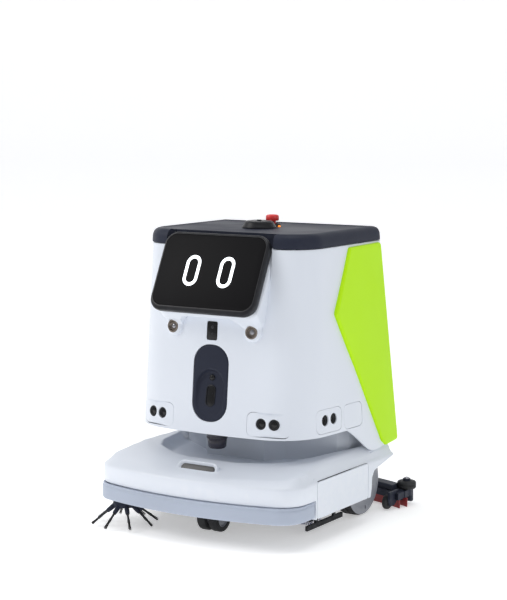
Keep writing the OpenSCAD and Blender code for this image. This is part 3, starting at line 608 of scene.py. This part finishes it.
def make_screen_mount():
    """The white fairing behind the screen, blended into the two lens pods and arched over the camera."""
    side = [(-4, 462), (-22, 476), (-34, 490), (-35, 500), (-14.5, 540), (7, 585), (34, 636), (60, 636),
        (60, 560), (30, 462)]
    rings = []
    for x in np.linspace(-1, 1, 25):
        ring = []
        for y, z in side:
            half = 127 + 9.5 * min(1.0, (z - 462) / 50)
            round_off = 10 * max(0, abs(x) - 0.86) ** 2 / 0.0196
            ring.append((x * half, y + round_off * 0.8, z + (round_off * 0.5 if z < 500 else 0)))
        rings.append(ring)
    mount = solid("screen_fairing", rings, WHITE, "base", 35, ("screen_mount",))
    pods = []
    for _, s in SIDES:
        pods.append(lathe("pod", ((0, -14), (24, -14), (22.5, -4), (21.3, 3), (20, 6.5), (16.5, 8.4),
            (0, 8.4)), on_front(s * POD_X, POD_Z)))
    cut(mount, pods, "UNION")
    remesh = mount.modifiers.new("remesh", "REMESH")
    remesh.mode, remesh.voxel_size = "VOXEL", 0.0022
    soften = mount.modifiers.new("soften", "SMOOTH")
    soften.iterations, soften.factor = 14, 0.6
    settle(mount, 180)
    cutters = [cutter(160, 60, 24, 60, on_front(0, CAMERA_Z))]
    for _, s in SIDES:
        cutters.append(cutter(29.6, 29.6, 14.8, 30, on_front(s * POD_X, POD_Z)))
    cut(mount, cutters, angle=40)
    for name, s in SIDES:
        spot = on_front(s * POD_X, POD_Z)
        lathe(f"lens_ring_{name}", ((14.6, -8), (14.6, 8.9), (14.0, 9.6), (12.8, 9.8), (11.6, 9.4),
            (10.6, 7.6), (9.6, 5.4), (8.6, 4.4), (0, 4.4)), spot, LENS_RING, "base", ("corner_lenses",)
            if s > 0 else ())
        lathe(f"lens_glass_{name}", ((0, 7.2), (2.4, 7.0), (4.6, 6.2), (6.2, 4.8), (6.4, 4.0), (0, 4.0)),
            spot, BOLT, "base", slot="lens_metal")


def make_nose():
    """The dark oval: a dish whose lower half sinks into a scoop, with a window and a small lens."""
    w, h, r = 91.4, 170.4, 41.2
    outline = []
    for a, b in zip(rounded(w, h, r, 14), rounded(w, h, r, 14)[1:] + rounded(w, h, r, 14)[:1]):
        steps = max(1, round(math.dist(a, b) / 4))
        outline += [(a[0] + (b[0] - a[0]) * i / steps, a[1] + (b[1] - a[1]) * i / steps)
            for i in range(steps)]
    rings = []
    for s in list(np.linspace(0.02, 0.93, 56)) + [0.955, 0.975, 0.99, 1.0]:
        ring = []
        for x, y in outline:
            px, py = x * s, y * s
            along = py + 7 if py > -7 else min(0.0, py + 42)
            step = 1 / (1 + math.exp((math.hypot(px, along) - 35) / 1.2))
            depth = 9.5 * step * min(1.0, max(0.12, (py + 78) / 90))
            rim = 2.2 * max(0.0, (s - 0.93) / 0.07) ** 2
            px_front = front_y(px, NOSE_Z + py) - front_y(0, NOSE_Z + py)
            ring.append((px, py, -px_front + 0.4 - depth - rim))
        rings.append(placed(on_front(0, NOSE_Z), ring))
    rings.append(placed(on_front(0, NOSE_Z), [(x, y, -14) for x, y in outline]))
    solid("nose_dish", rings, NAVY, "base", 50, ("nose_panel",))
    spot = on_front(0, 308, -5.4) @ rx(-6)
    frame_rings = prism_rings(rounded(25, 49, 12), ((-3, None), (1.2, None), (2.0, rounded(24, 48, 11.5)),
        (2.2, rounded(22.6, 46.6, 10.6)), (1.8, rounded(21, 45, 9.8)), (-1, rounded(20, 44, 9.4))), spot)
    solid("nose_window_lip", frame_rings, NAVY_DARK, "base", slot="navy_plastic")
    plate("nose_window", 20.4, 44.4, 9.4, 0.6, -2, 0.8, spot, LENS, "base", ("nose_lenses",))
    lathe("nose_lens", ((0, 1.6), (3, 1.4), (4.8, 0.6), (5.2, 0), (6.0, 0.2), (6.6, -0.4), (6.6, -4),
        (0, -4)), on_front(0, 348, -6.5), LENS, "base")
    plate("camera_glass", 26.6, 40.6, 3.6, -0.2, -8, 0.5, on_front(0, CAMERA_Z), LENS, "base",
        ("camera_window",))
    rings = prism_rings(rounded(28, 42, 4.2), ((-4, None), (0.3, None), (0.7, rounded(28.6, 42.6, 4.5)),
        (0.7, rounded(30, 44, 5.2)), (-0.4, rounded(31.2, 45.2, 5.8))), on_front(0, CAMERA_Z))
    mesh("camera_bezel", *loft(rings), WHITE, "base")
    for z, radius in ((460, 4.0), (446, 2.4)):
        lathe(f"camera_dot_{z}", ((0, 0.35), (radius * 0.6, 0.3), (radius, 0), (radius, -0.5), (0, -0.5)),
            on_front(0, z), DARK, "base")


# ---------------------------------------------------------------- the base
def hits(outline, centre, angles):
    """Where rays from a centre leave a closed outline."""
    a = np.array([(p[0], p[1]) for p in outline], float) - centre
    b = np.roll(a, -1, axis=0)
    found = []
    for angle in angles:
        u = np.array((math.cos(angle), math.sin(angle)))
        e = b - a
        det = u[0] * e[:, 1] - u[1] * e[:, 0]
        det = np.where(abs(det) < 1e-12, 1e-12, det)
        t = (a[:, 0] * e[:, 1] - a[:, 1] * e[:, 0]) / det
        s = (a[:, 0] * u[1] - a[:, 1] * u[0]) / det
        good = t[(t > 0) & (s >= -1e-9) & (s <= 1 + 1e-9)]
        found.append(centre + u * float(good.max()))
    return np.array(found)


WELL = [(60, 4), (120, 20), (168, 48), (190, 92), (204, 170), (218, 220), (225, 270), (225, 352)]
CORE = [(76, 88), (108, 130), (203, 197), (216, 232), (216, 340)]


def base_top(y, outline_distance):
    """The cover's upper surface: it climbs from the crest to the flanks."""
    ramp = float(np.interp(y, (-126, -80, 75), (CREST_Z + 1, 149.5, 174)))
    side = 143 + 31 * min(1.0, max(0.0, outline_distance - 4) / 27)
    k = 5.0
    return -k * math.log(math.exp(-ramp / k) + math.exp(-side / k)) + 1.5


def make_base_cover():
    centre = np.array((0.0, 190.0))
    special = [(262, 372), (-262, 372), (216, 340), (-216, 340), (225, 352), (-225, 352)]
    angles = sorted(set(list(np.linspace(-math.pi, math.pi, 264, endpoint=False)) + [math.atan2(y - 190, x)
        for x, y in special]))
    ring = {i: hits(whole(plan(BASE_FRONT_Y, BASE_HALF, BASE_R, 62, BASE_REAR_Y, i, 0, 2)), centre, angles)
        for i in (0, 0.5, 0.8, 2.5, 4, 5, 8, 12.5, 16)}
    well, core = (hits(half + [(-x, y) for x, y in reversed(half)], centre, angles)
        for half in (WELL, CORE))
    around = range(len(angles))
    rings = []
    for z, inset in ((BASE_Z, 12.5), (BASE_Z + 0.1, 12.5), (99.5, 12.5), (100.4, 0.8), (101.4, 0),
            (134, 0), (138, 0.5), (140.6, 2.5), (142.2, 5)):
        own = [0 if inset in (12.5, 0.8) and ring[0][k][1] > -3 else inset for k in around]
        rings.append([(*ring[own[k]][k], z) for k in around])
    for v in (0.0, 0.1, 0.2, 0.32, 0.45, 0.58, 0.7, 0.8, 0.88, 0.94, 1.0):
        row = []
        for k in around:
            start = ring[8][k]
            towards = (well[k] - centre) / np.linalg.norm(well[k] - centre)
            goal = well[k] + towards * 9
            if np.linalg.norm(goal - centre) > np.linalg.norm(start - centre) - 3:
                goal = start - towards * 3
            p = start + (goal - start) * v
            distance = np.linalg.norm(ring[0][k] - p)
            z = base_top(p[1], distance)
            if v == 0:
                z = min(z, 144.5)
            row.append((p[0], p[1], z))
        rings.append(row)
    edge = rings[-1]
    for s, drop in ((0.06, 0.05), (0.13, 0.18), (0.22, 0.38), (0.34, 0.6), (0.48, 0.79), (0.62, 0.91),
            (0.8, 0.985), (1.0, 1.0)):
        row = []
        for k in around:
            p = np.array(edge[k][:2])
            way = core[k] - p
            reach = min(34.0, np.linalg.norm(way) - 1.5)
            q = p + way / np.linalg.norm(way) * reach * s
            row.append((q[0], q[1], edge[k][2] + (WELL_Z + 0.6 - edge[k][2]) * drop))
        rings.append(row)
    rings.append([(*core[k], WELL_Z + 0.6) for k in around])
    inner = [[(x, y, z - 3.4) for x, y, z in row] for row in reversed(rings[10:])]
    for z in (138.5, BASE_Z):
        inner.append([(*ring[16 if ring[0][k][1] < -3 else 4][k], z) for k in around])
    cover = mesh("base_shell", *loft(rings + inner + rings[:1]), WHITE, "base", 40, ("base_cover",))
    arch = [(240, 40), (251, 59), (256, 76), (258, 103), (268, 117), (283, 121), (362, 137), (380, 158),
        (420, 158), (420, 40)]
    cutters = [prism_x(arch, -350, 350), cutter(102, 26, 12, 20, at(0, -60, 150)),
        cutter(232, 92, 8, 15, at(BASE_HALF, DOOR_Y, DOOR_Z) @ rz(90) @ rx(90))]
    cutters.append(box(-240, 240, 300, 390, 40, 200))
    leg = [(160, 226), (273.6, 155.2), (340, 162.2), (412, 166.2), (412, 226)]
    for side in (-1, 1):
        cutters.append(prism_x(leg, side * 246.5, side * 300))
    cut(cover, cutters, angle=40)
    bevel(cover, 0.8, 2, 42)


def make_slot_light():
    """The front light's window, with a smooth white lip around it."""
    spot = at(0, -64, 152.5) @ rx(56)
    lip = ((-20, rounded(104, 32, 15.5, 12)), (1.5, rounded(106, 34, 16.5, 12)),
        (3.6, rounded(105, 33, 16, 12)), (4.6, rounded(102, 30, 14.8, 12)),
        (4.0, rounded(98, 26.5, 13, 12)), (1.0, rounded(91, 20.4, 10, 12)),
        (-0.2, rounded(88.5, 18.4, 9.1, 12)), (-6, rounded(87.5, 18, 8.9, 12)))
    mesh("slot_lip", *loft(prism_rings(lip[0][1], lip, spot)), WHITE, "base")
    plate("slot_window_face", 88, 18.2, 9, 0.6, -6, 1.2, spot, SLOT_GREY, "base", ("slot_window",))


def make_bumper():
    """A soft strip round the front: an outward bow, a step at the top and a fine line below it."""
    base = plan(-133, 263, BASE_R, 64, BASE_REAR_Y)
    base = [p for p in base if p.y < -4.01] + [Vector((263, -4))]
    path = [Vector((-p.x, p.y)) for p in reversed(base[1:])] + base
    profile = [(7, 63.5), (1.2, 63.2), (0.3, 64.4), (-0.0, 68), (0, 74), (0, 84), (0.2, 89.5), (0.8, 91.4),
        (1.7, 92.3), (2.0, 93.6), (1.7, 96), (2.2, 97.4), (3.2, 98), (7, 98)]
    rings = []
    for inset, z in profile:
        ring = []
        for i, p in enumerate(path):
            t = (path[min(i + 1, len(path) - 1)] - path[max(i - 1, 0)]).normalized()
            ring.append((*(p + Vector((-t.y, t.x)) * inset), z))
        rings.append(ring)
    rings.append(rings[0])
    verts, faces = loft(rings, closed=False)
    count = len(path)
    for end in (0, count - 1):
        faces.append(tuple(i * count + end for i in range(len(rings) - 1)))
    strip = mesh("bumper_strip", verts, faces, BLUE_GREY, "bumper", 50, ("bumper",))
    bevel(strip, 1.2, 3, 60)


# ---------------------------------------------------------------- the lid
def lid_ring(inset):
    return whole(plan(TOP_FRONT_Y - 1, TOP_HALF + 2, TOP_R, 78, TOP_REAR_Y + 1, inset, 0, 8))


def make_lid():
    levels = ((LID_Z, 3.2), (LID_Z, 0.6), (LID_Z + 0.9, 0), (645, 0.3), (653, 1.0), (658, 2.4), (662, 4.6),
        (665.4, 8), (667.8, 12), (669, 16.5), (669.2, 21), (668.6, 24), (667.6, 27), (667.2, 31))
    rings = [[(p.x, p.y, z) for p in lid_ring(inset)] for z, inset in levels]
    for s in (0.75, 0.5, 0.25, 0.03):
        rings.append([(x * s, 190 + (y - 190) * s, z) for x, y, z in rings[13]])
    lid = solid("lid_skin", rings, NAVY, "lid", 40, ("lid_shell",))
    cutters = [box(-140, 140, -30, 58, 600, 700), box(-182, 182, 352, 380, 600, 658),
        cutter(62, 62, 31, 12, at(0, DOME_Y, LID_TOP_Z)), cutter(34, 34, 17, 12, at(0, STOP_Y, LID_TOP_Z)),
        cutter(330, 1.2, 0.5, 1.4, at(0, 322, 667.4))]
    cut(lid, cutters, angle=35)
    bevel(lid, 1.2, 3, 40)
    lathe("top_camera_dome", ((0, 686), (4.5, 686), (5.6, 685.4), (6, 684), (6.5, 683.2), (26, 683.2),
        (31, 682.4), (33.6, 680.6), (34.6, 677), (38, 672), (39, 670), (39, 668.4), (30.5, 668.4),
        (30.5, 662)), at(0, DOME_Y, 0), NAVY_DARK, "lid", ("top_camera",), 64)
    lathe("top_camera_ring", ((27, 683.3), (27.6, 683.9), (29.6, 683.7), (30.2, 683.0)), at(0, DOME_Y, 0),
        LENS, "lid", (), 64)
    lathe("stop_collar", ((14.2, 669), (14.2, 673.2), (15, 674), (17.6, 674), (18.7, 673.2), (19, 671.5),
        (19, 668.6), (16.6, 668.6), (16.6, 658)), at(0, STOP_Y, 0), DARK, "lid", ("emergency_stop_base",))
    lathe("stop_button", ((0, 695), (8, 694.8), (12, 694), (14.4, 692.4), (15.3, 690), (15.5, 686),
        (15, 681.4), (14.2, 680.2), (9, 680), (8.2, 679), (8.2, 672), (8.2, 663), (0, 663)),
        at(0, STOP_Y, 0), RED, "emergency_stop", ("emergency_stop_button",))
    for k in range(3):
        arrow = mesh(f"stop_mark_{k}",
            *loft([placed(at(0, STOP_Y, 0) @ rz(120 * k), [(3.2, -1.0, z), (8.8, -1.0, z), (8.8, -2.6, z),
            (11.4, 0, z), (8.8, 2.6, z), (8.8, 1.0, z), (3.2, 1.0, z)]) for z in (693.4, 694.95)],
            caps=True), WHITE, "emergency_stop")
        bevel(arrow, 0.15, 1)
    lathe("status_lamp", ((0, 671), (1.6, 670.8), (2.7, 670), (3.1, 668.6), (3.1, 664), (0, 664)),
        at(26, 236, 0), AMBER, "lid", ("status_light",), 24)


# ---------------------------------------------------------------- the lidar under the body
def make_lidar():
    m = at(0, 14, 0)
    lathe("lidar_turret", ((0, 186), (15, 186), (17.4, 186.4), (18.4, 187.6), (20.4, 190), (21.9, 207),
        (21.4, 208), (23.2, 208.6), (23.5, 210), (23.5, 228), (24, 231), (26, 234), (33, 236), (33, 238),
        (0, 238)), m, LIDAR, "base", ("lidar_body",), 64)
    lathe("lidar_band", ((23.4, 210.6), (23.9, 211), (23.9, 212.4), (23.4, 212.8)), m, DARK, "base", (), 64)


# ---------------------------------------------------------------- wheels
def make_wheels():
    for name, side in SIDES:
        m = at(side * (WHEEL_X - 20), WHEEL_Y, 76) @ ry(90 * side)
        body = f"wheel_{name}"
        rings = []
        half = ((60.2, 1.5, 0), (64, 0.4, 0), (71, 0.6, 0), (73.6, 2.2, 0), (75.2, 4.4, 1), (75.9, 7, 1),
            (75.9, 12.4, 1), (75.9, 13.0, 0), (73.6, 13.6, 0), (73.6, 15.2, 0), (75.9, 15.8, 0))
        for r, z, groove in symmetric(half, 40, ((75.9, 20, 0),)):
            ring = []
            for k, (u, v) in enumerate(circle(1, 144)):
                own = r - 1.8 if groove and k % 6 < 2 else r
                ring.append((own * u, own * v, z))
            rings.append(placed(m, ring))
        tyre = mesh(f"tyre_tread_{name}", *loft(rings), RUBBER, body, 40, (f"tyre_{name}",))
        bevel(tyre, 0.4, 1, 50)
        hub = lathe(f"hub_face_{name}", ((9.1, 3), (59.8, 3), (59.8, 36), (66, 39.2), (72.4, 38.9),
            (73.4, 39.8), (73.2, 40.6), (70, 41.2), (58, 41.7), (56.6, 41.2), (54, 40.6), (30, 40.8),
            (24, 41.2), (10, 41.8), (9.1, 41.4), (9.1, 3)), m, HUB, body, (f"wheel_hub_{name}",), 64)
        cut(hub, [cutter(9, 4.4, 1.2, 4, m @ rz(turn) @ at(60, 0, 40), -2.6) for turn in (8, 128, 248)])
        bevel(hub, 0.8, 2, 35)
        bolts = []
        for k in range(5):
            bolts.append(lathe("bolt", ((0, 41.0), (1.6, 41.0), (1.8, 42.4), (4.2, 42.6), (4.9, 42),
                (5, 38), (0, 38)), m @ rz(72 * k) @ at(38, 0, 0), BOLT, body, (), 18))
        bolts.append(lathe("bolt", ((0, 43), (6, 42.8), (8.2, 42.2), (8.9, 41), (8.9, 36), (0, 36)), m,
            BOLT, body, (), 24))
        join(f"wheel_bolts_{name}", bolts)


def small_wheel(name, m, width, radius, body, replaced, hub_r):
    half = ((hub_r, 0.6), (radius * 0.8, 0.2), (radius - 1.8, 1.0), (radius - 0.5, 2.6), (radius, 4.6))
    lathe(name, [*symmetric(half, width), half[0]], m, RUBBER, body, replaced)


def make_caster():
    for name, side in SIDES:
        m = at(side * 4, 0, 32) @ ry(90 * side)
        small_wheel(f"caster_tyre_{name}", m, 23, 32, "caster_wheels", ("caster_wheels",)
            if side > 0 else (), 21)
        lathe(f"caster_rim_{name}", ((4.2, 2), (21.2, 2), (21.2, 20.6), (19, 21.4), (17, 19), (9, 18.6),
            (8, 22), (4.2, 22.4)), m, HUB, "caster_wheels")
    for name, side in SIDES:
        m = at(side * 230, 380, 17.5) @ ry(90 * side)
        small_wheel(f"support_tyre_{name}", m, 14, 17, "squeegee_wheels", ("squeegee_wheels",)
            if side > 0 else (), 4.2)
        m = at(side * ROLLER_X, ROLLER_Y, 39)
        half = ((5.2, 0.2), (18, 0.2), (20.6, 1.2), (22.2, 3.4), (22.5, 6), (22.5, 8.6))
        lathe(f"wall_roller_tyre_{name}", [*symmetric(half, 19, ((21.6, 9.5),)), half[0]], m, RUBBER,
            f"wall_roller_{name}", (f"wall_roller_{name}",))


# ---------------------------------------------------------------- brushes
def strands(name, paths, radius, sides, material, body, replaced):
    """Many thin tapered strands, each along its own path, as one mesh."""
    verts, faces = [], []
    for path in paths:
        points = [Vector(p) for p in path]
        for i, p in enumerate(points):
            t = (points[min(i + 1, len(points) - 1)] - points[max(i - 1, 0)]).normalized()
            a = t.orthogonal().normalized()
            b = t.cross(a)
            r = radius * (1 - 0.25 * i / len(points))
            for k in range(sides):
                w = 2 * math.pi * k / sides
                verts.append(tuple(p + a * (r * math.cos(w)) + b * (r * math.sin(w))))
        base = len(verts) - len(points) * sides
        for i in range(len(points) - 1):
            for k in range(sides):
                m = (k + 1) % sides
                faces.append((base + i * sides + k, base + i * sides + m, base + (i + 1) * sides + m,
                    base + (i + 1) * sides + k))
        last = base + (len(points) - 1) * sides
        faces.append(tuple(last + k for k in range(sides)))
        faces.append(tuple(base + k for k in reversed(range(sides))))
    return mesh(name, verts, faces, material, body, 60, replaced)


def make_side_brush():
    seeded = random.Random(7)
    hub = at(BRUSH_X, BRUSH_Y, 0)
    sockets = [lathe("side_brush_disc", ((0, 60), (5, 60), (6, 57), (22, 56.6), (26, 55.6), (27, 53.4),
        (27, 46), (26, 44.4), (20, 44), (19, 45.6), (11, 46), (10, 43.6), (0, 43.4)), hub, NAVY,
        "side_brush")]
    stems, paths = [], []
    for i in range(8):
        m = hub @ rz(i * 45) @ at(20, 0, 50) @ ry(127)
        sockets.append(lathe("socket", ((5.4, 0), (5.4, 16), (5.0, 22), (4.4, 25.4), (3.9, 26), (3.5, 25)),
            m, NAVY, "side_brush", (), 20))
        stems.append(lathe("stem", ((2.6, 12), (2.6, 30), (2.4, 40), (3.0, 41), (3.2, 50), (2.9, 51.4),
            (2.0, 51.4)), m, DARK, "side_brush", (), 14))
        for _ in range(34):
            a, r = seeded.uniform(0, 2 * math.pi), 2.3 * math.sqrt(seeded.random())
            x, y = r * math.cos(a), r * math.sin(a)
            spread = seeded.uniform(1.35, 1.75)
            bend = seeded.uniform(-0.6, 0.6)
            tip = 70.2 - seeded.uniform(0, 2.2)
            path = [(x, y, 46), (x * 1.1, y * 1.1, 54), (x * 1.3 + bend * 0.3, y * 1.3, 62),
                (x * spread + bend, y * spread, tip)]
            paths.append([(x, y, max(z, 0.4)) for x, y, z in placed(m, path)])
    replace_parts(join("side_brush_arms", sockets), "side_brush_hub")
    join("side_brush_stems", stems)
    strands("side_brush_filaments", paths, 0.32, 4, FILAMENT, "side_brush", ("side_brush_tufts",))


def make_roller():
    seeded = random.Random(11)
    paths = []
    for row in range(6):
        for k in range(150):
            x = -178 + 356 * k / 149
            twist = row * math.pi / 3 + 1.6 * (x + 178) / 356
            for _ in range(3):
                a = twist + seeded.uniform(-0.16, 0.16)
                lean = seeded.uniform(-0.05, 0.05)
                dx = seeded.uniform(-1.2, 1.2)
                paths.append([(x + dx, 150 + 25.5 * math.sin(a), 45 + 25.5 * math.cos(a)),
                    (x + dx * 1.4, 150 + 35 * math.sin(a + lean), 45 + 35 * math.cos(a + lean)),
                    (x + dx * 1.8, 150 + 43.6 * math.sin(a + 2 * lean),
                    45 + 43.6 * math.cos(a + 2 * lean))])
    strands("roller_filaments", paths, 0.42, 3, BLUE_FILAMENT, "roller_brush", ("roller_bristles",))


# ---------------------------------------------------------------- the squeegee
def make_hose():
    """The ribbed suction hose, along the CAD hose's centre line."""
    bend = 40
    path = [(473, 64)]
    path += [(433 + bend * math.cos(math.radians(a)), 90 + bend * math.sin(math.radians(a)))
        for a in range(0, 91, 10)]
    path += [(410 - bend * math.sin(math.radians(a)), 130 + bend * (1 - math.cos(math.radians(a))))
        for a in range(0, 91, 10)]
    path.append((370, 205))
    points = [Vector((0, y, z)) for y, z in path]
    lengths = [0.0]
    for a, b in zip(points, points[1:]):
        lengths.append(lengths[-1] + (b - a).length)

    def along(s):
        return Vector((0, *(float(np.interp(s, lengths, [p[axis] for p in points])) for axis in (1, 2))))

    steps = 240
    rings = []
    for i in range(steps + 1):
        s = lengths[-1] * i / steps
        here = along(s)
        t = (along(min(s + 1, lengths[-1])) - along(max(s - 1, 0))).normalized()
        n = Vector((0, -t.z, t.y))
        rib = 16.4 - 1.1 * (0.5 + 0.5 * math.cos(2 * math.pi * s / 6.0))
        if s < 14 or s > lengths[-1] - 4:
            rib = 17
        rings.append([tuple(here + Vector((u, 0, 0)) + n * v) for u, v in circle(rib, 28)])
    solid("suction_hose_ribs", rings, DARK, "squeegee", 60, ("suction_hose",))


def make_squeegee_fittings():
    """Clamp knobs, cap bolts and blade clips on the squeegee's bar."""
    knobs, clips = [], []
    centre_y = SQUEEGEE_Y - SQUEEGEE_R
    for x in (-62, 62):
        spot = at(x, centre_y + math.sqrt(588 ** 2 - x * x), 0)
        outline = [(u * (11.5 + 1.4 * math.cos(k * math.pi / 2.5)),
            v * (11.5 + 1.4 * math.cos(k * math.pi / 2.5))) for k, (u, v) in enumerate(circle(1, 40))]
        rings = prism_rings(outline,
            ((49, None), (58, None), (60.5, [(u * 0.93, v * 0.93) for u, v in outline]),
            (61.5, [(u * 0.8, v * 0.8) for u, v in outline])), spot)
        knobs.append(solid("knob", rings, DARK, "squeegee", 50))
        knobs.append(lathe("washer", ((0, 49.6), (14, 49.6), (14.6, 49), (14.6, 48), (0, 48)), spot, DARK,
            "squeegee", (), 32))
    for x in (-225, -180, -100, -35, 35, 100, 180, 225):
        spot = at(x, centre_y + math.sqrt(586 ** 2 - x * x), 0)
        clips.append(lathe("clip", ((0, 38.6), (1.8, 38.6), (2, 40.6), (4.4, 40.6), (5, 40), (5, 37),
            (0, 37)), spot, BOLT, "squeegee", (), 20))
    for _, side in SIDES:
        clips.append(lathe("clip", ((0, 64.6), (2.6, 64.6), (3, 66), (5.4, 66), (6.4, 65), (6.4, 62.6),
            (0, 62.6)), at(side * ROLLER_X, ROLLER_Y, 0), BOLT, "squeegee", (), 24))
    join("squeegee_knobs", knobs)
    join("squeegee_bolts", clips)
    for name, side in SIDES:
        rings = []
        for x in np.linspace(136, 236, 13):
            front, back = (centre_y + math.sqrt(r ** 2 - x * x) for r in (569, 600))
            rings.append([(side * x, y, z) for y, z in ((front, 37), (front, 50), (front + 2, 52),
                (back - 2, 52), (back, 50), (back, 37))])
        bevel(solid(f"squeegee_cap_{name}", rings, NAVY, "squeegee", 40), 1.2)
        for k, (x, y, w, depth, z0, z1) in enumerate(((ROLLER_X, 462, 17, 14, 6, 38),
                (246, 436, 14, 22, 14, 40), (ROLLER_X, ROLLER_Y, 21, 24, 24, 37.6))):
            rings = prism_rings(rounded(w, depth, 3.5), ((z0, None), (z1, None)), at(side * x, y, 0))
            bevel(solid(f"squeegee_end_{name}_{k}", rings, NAVY, "squeegee", 40), 1.0)


# ---------------------------------------------------------------- the rear and small details
def make_rear_details():
    screws = []
    for x in (-150, 150):
        for z in (240, 580):
            screws.append(lathe("screw", ((0, -1.6), (1.2, -1.6), (1.4, -0.4), (4.4, -0.3), (4.8, -0.9),
                (4.8, -3), (0, -3)), on_rear(z) @ at(x, 0, 0), BOLT, "base", (), 20))
    join("rear_screws", screws)
    for k, z in enumerate((430, 446, 462, 478, 494)):
        plate(f"rear_vent_{k}", 150, 7, 3.4, 0.5, -1.4, 0.4, on_rear(z), DARK, "base")


def make_door_grip():
    spot = at(BASE_HALF, DOOR_Y, DOOR_Z - 22) @ rz(90) @ rx(90)
    rings = prism_rings(rounded(26, 8, 3.5), ((-0.9, rounded(20, 4, 1.9)), (-0.8, rounded(23, 6, 2.8)),
        (-0.3, rounded(25, 7.4, 3.4)), (0.05, rounded(26, 8, 3.6)), (0.05, rounded(28, 10, 4.4)),
        (-0.3, rounded(28.4, 10.4, 4.6))), spot)
    solid("door_grip_rim", rings, WHITE, "brush_door")


for make in (make_upper_body, make_sensor_plates, make_side_panels, make_screen, make_screen_mount,
        make_nose, make_base_cover, make_slot_light, make_bumper, make_lid, make_lidar, make_wheels,
        make_caster, make_side_brush, make_roller, make_hose, make_squeegee_fittings, make_rear_details,
        make_door_grip):
    make()


# ---------------------------------------------------------------- the CAD nodes that show
# each material's nodes, with the width of their rounded edges in millimetres, or 0 for none
# The sensor well and the underside pan take the grey of painted shade, not a colour of their own.
FINISH = ((STEEL, {"chassis_frame": 0.6, "base_pan": 0, "control_box": 1.0, "lid_pins": 0,
    "caster_fork": 0.8, "squeegee_arm": 1.0}), (PAINTED_SHADE_GREY, {"sensor_well": 1.0, "underside_pan": 0}),
    (WHITE, {"rear_cover": 1.0, "brush_door": 0.8}), (DARK, {"cliff_sensors": 0.5, "brush_deck": 0.8}),
    (TANK, {"clean_tank": 1.5, "recovery_tank": 1.5}),
    (NAVY, {"tank_caps": 1.0, "roller_core": 0, "squeegee_body": 1.2}), (BATTERY, {"battery_pack": 1.2}),
    (MOTOR, {"vacuum_motor": 1.0, "water_pump": 0, "gear_motors": 0.8, "side_brush_motor": 0,
    "brush_motor": 0.8}), (BRASS, {"charge_contacts": 0.6}), (RUBBER, {"side_skirts": 0}),
    (BLADE, {"squeegee_blades": 0}),)
looks = {node: (material, edge) for material, nodes in FINISH for node, edge in nodes.items()}
for node_name, node_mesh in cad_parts.items():
    material, edge = looks.get(node_name, (DARK, 0))
    node_mesh.data.materials.clear()
    node_mesh.data.materials.append(material.m)
    if not node_mesh.hide_render:
        shade(node_mesh, 32)
        if edge:
            bevel(node_mesh, edge, 2, 45)


# ---------------------------------------------------------------- floor, light and camera
def make_floor():
    """A pale floor that curves up into a backdrop far behind."""
    data = bpy.data.meshes.new("floor")
    profile = [(-9, 0), (6, 0), (7, 0.12), (7.8, 0.5), (8.3, 1.2), (8.5, 2.2), (8.5, 7)]
    verts = [(x, y, z) for x in (-14, 14) for y, z in profile]
    count = len(profile)
    faces = [(i, i + 1, count + i + 1, count + i) for i in range(count - 1)]
    data.from_pydata(verts, [], faces)
    data.polygons.foreach_set("use_smooth", [True] * len(data.polygons))
    floor = link(bpy.data.objects.new("floor", data))
    floor.rotation_euler = (0, 0, math.radians(32.257))
    paint = bpy.data.materials.new("pale_floor")
    paint.use_nodes = True
    shader = paint.node_tree.nodes["Principled BSDF"]
    shader.inputs["Base Color"].default_value = (0.96, 0.96, 0.965, 1)
    shader.inputs["Roughness"].default_value = 0.75
    shader.inputs["Emission Color"].default_value = (1, 1, 1, 1)
    shader.inputs["Emission Strength"].default_value = 0.4
    data.materials.append(paint)


make_floor()


def make_lights():
    world = bpy.data.worlds.new("studio")
    world.use_nodes = True
    world.node_tree.nodes["Background"].inputs["Color"].default_value = (0.95, 0.97, 1.0, 1)
    world.node_tree.nodes["Background"].inputs["Strength"].default_value = 0.46
    bpy.context.scene.world = world
    bpy.context.scene.view_settings.view_transform = "Standard"
    target = Vector((0, 0, 0.3))
    for name, spot, size, power, colour in (("key", (-2.6, -2.3, 2.7), 1.8, 50, (1.0, 0.99, 0.97)),
            ("fill", (3.4, -0.6, 1.6), 1.2, 8, (0.96, 0.98, 1.0)), ("top", (0.3, -0.2, 3.4), 2.0, 26,
            (1.0, 1.0, 1.0))):
        lamp = bpy.data.lights.new(name, "AREA")
        lamp.shape, lamp.size, lamp.energy, lamp.color = "SQUARE", size, power, colour
        obj = link(bpy.data.objects.new(name, lamp))
        obj.location = spot
        obj.rotation_euler = (target - Vector(spot)).to_track_quat("-Z", "Y").to_euler()


make_lights()


def make_camera():
    lens = bpy.data.cameras.new("camera")
    lens.sensor_width, lens.lens = 36, 100.6
    lens.clip_end = 60
    camera = link(bpy.data.objects.new("camera", lens))
    camera.location = (2.0343, -3.2309, 0.9595)
    camera.rotation_euler = (math.radians(83.17), 0, math.radians(32.257))
    bpy.context.scene.camera = camera


make_camera()
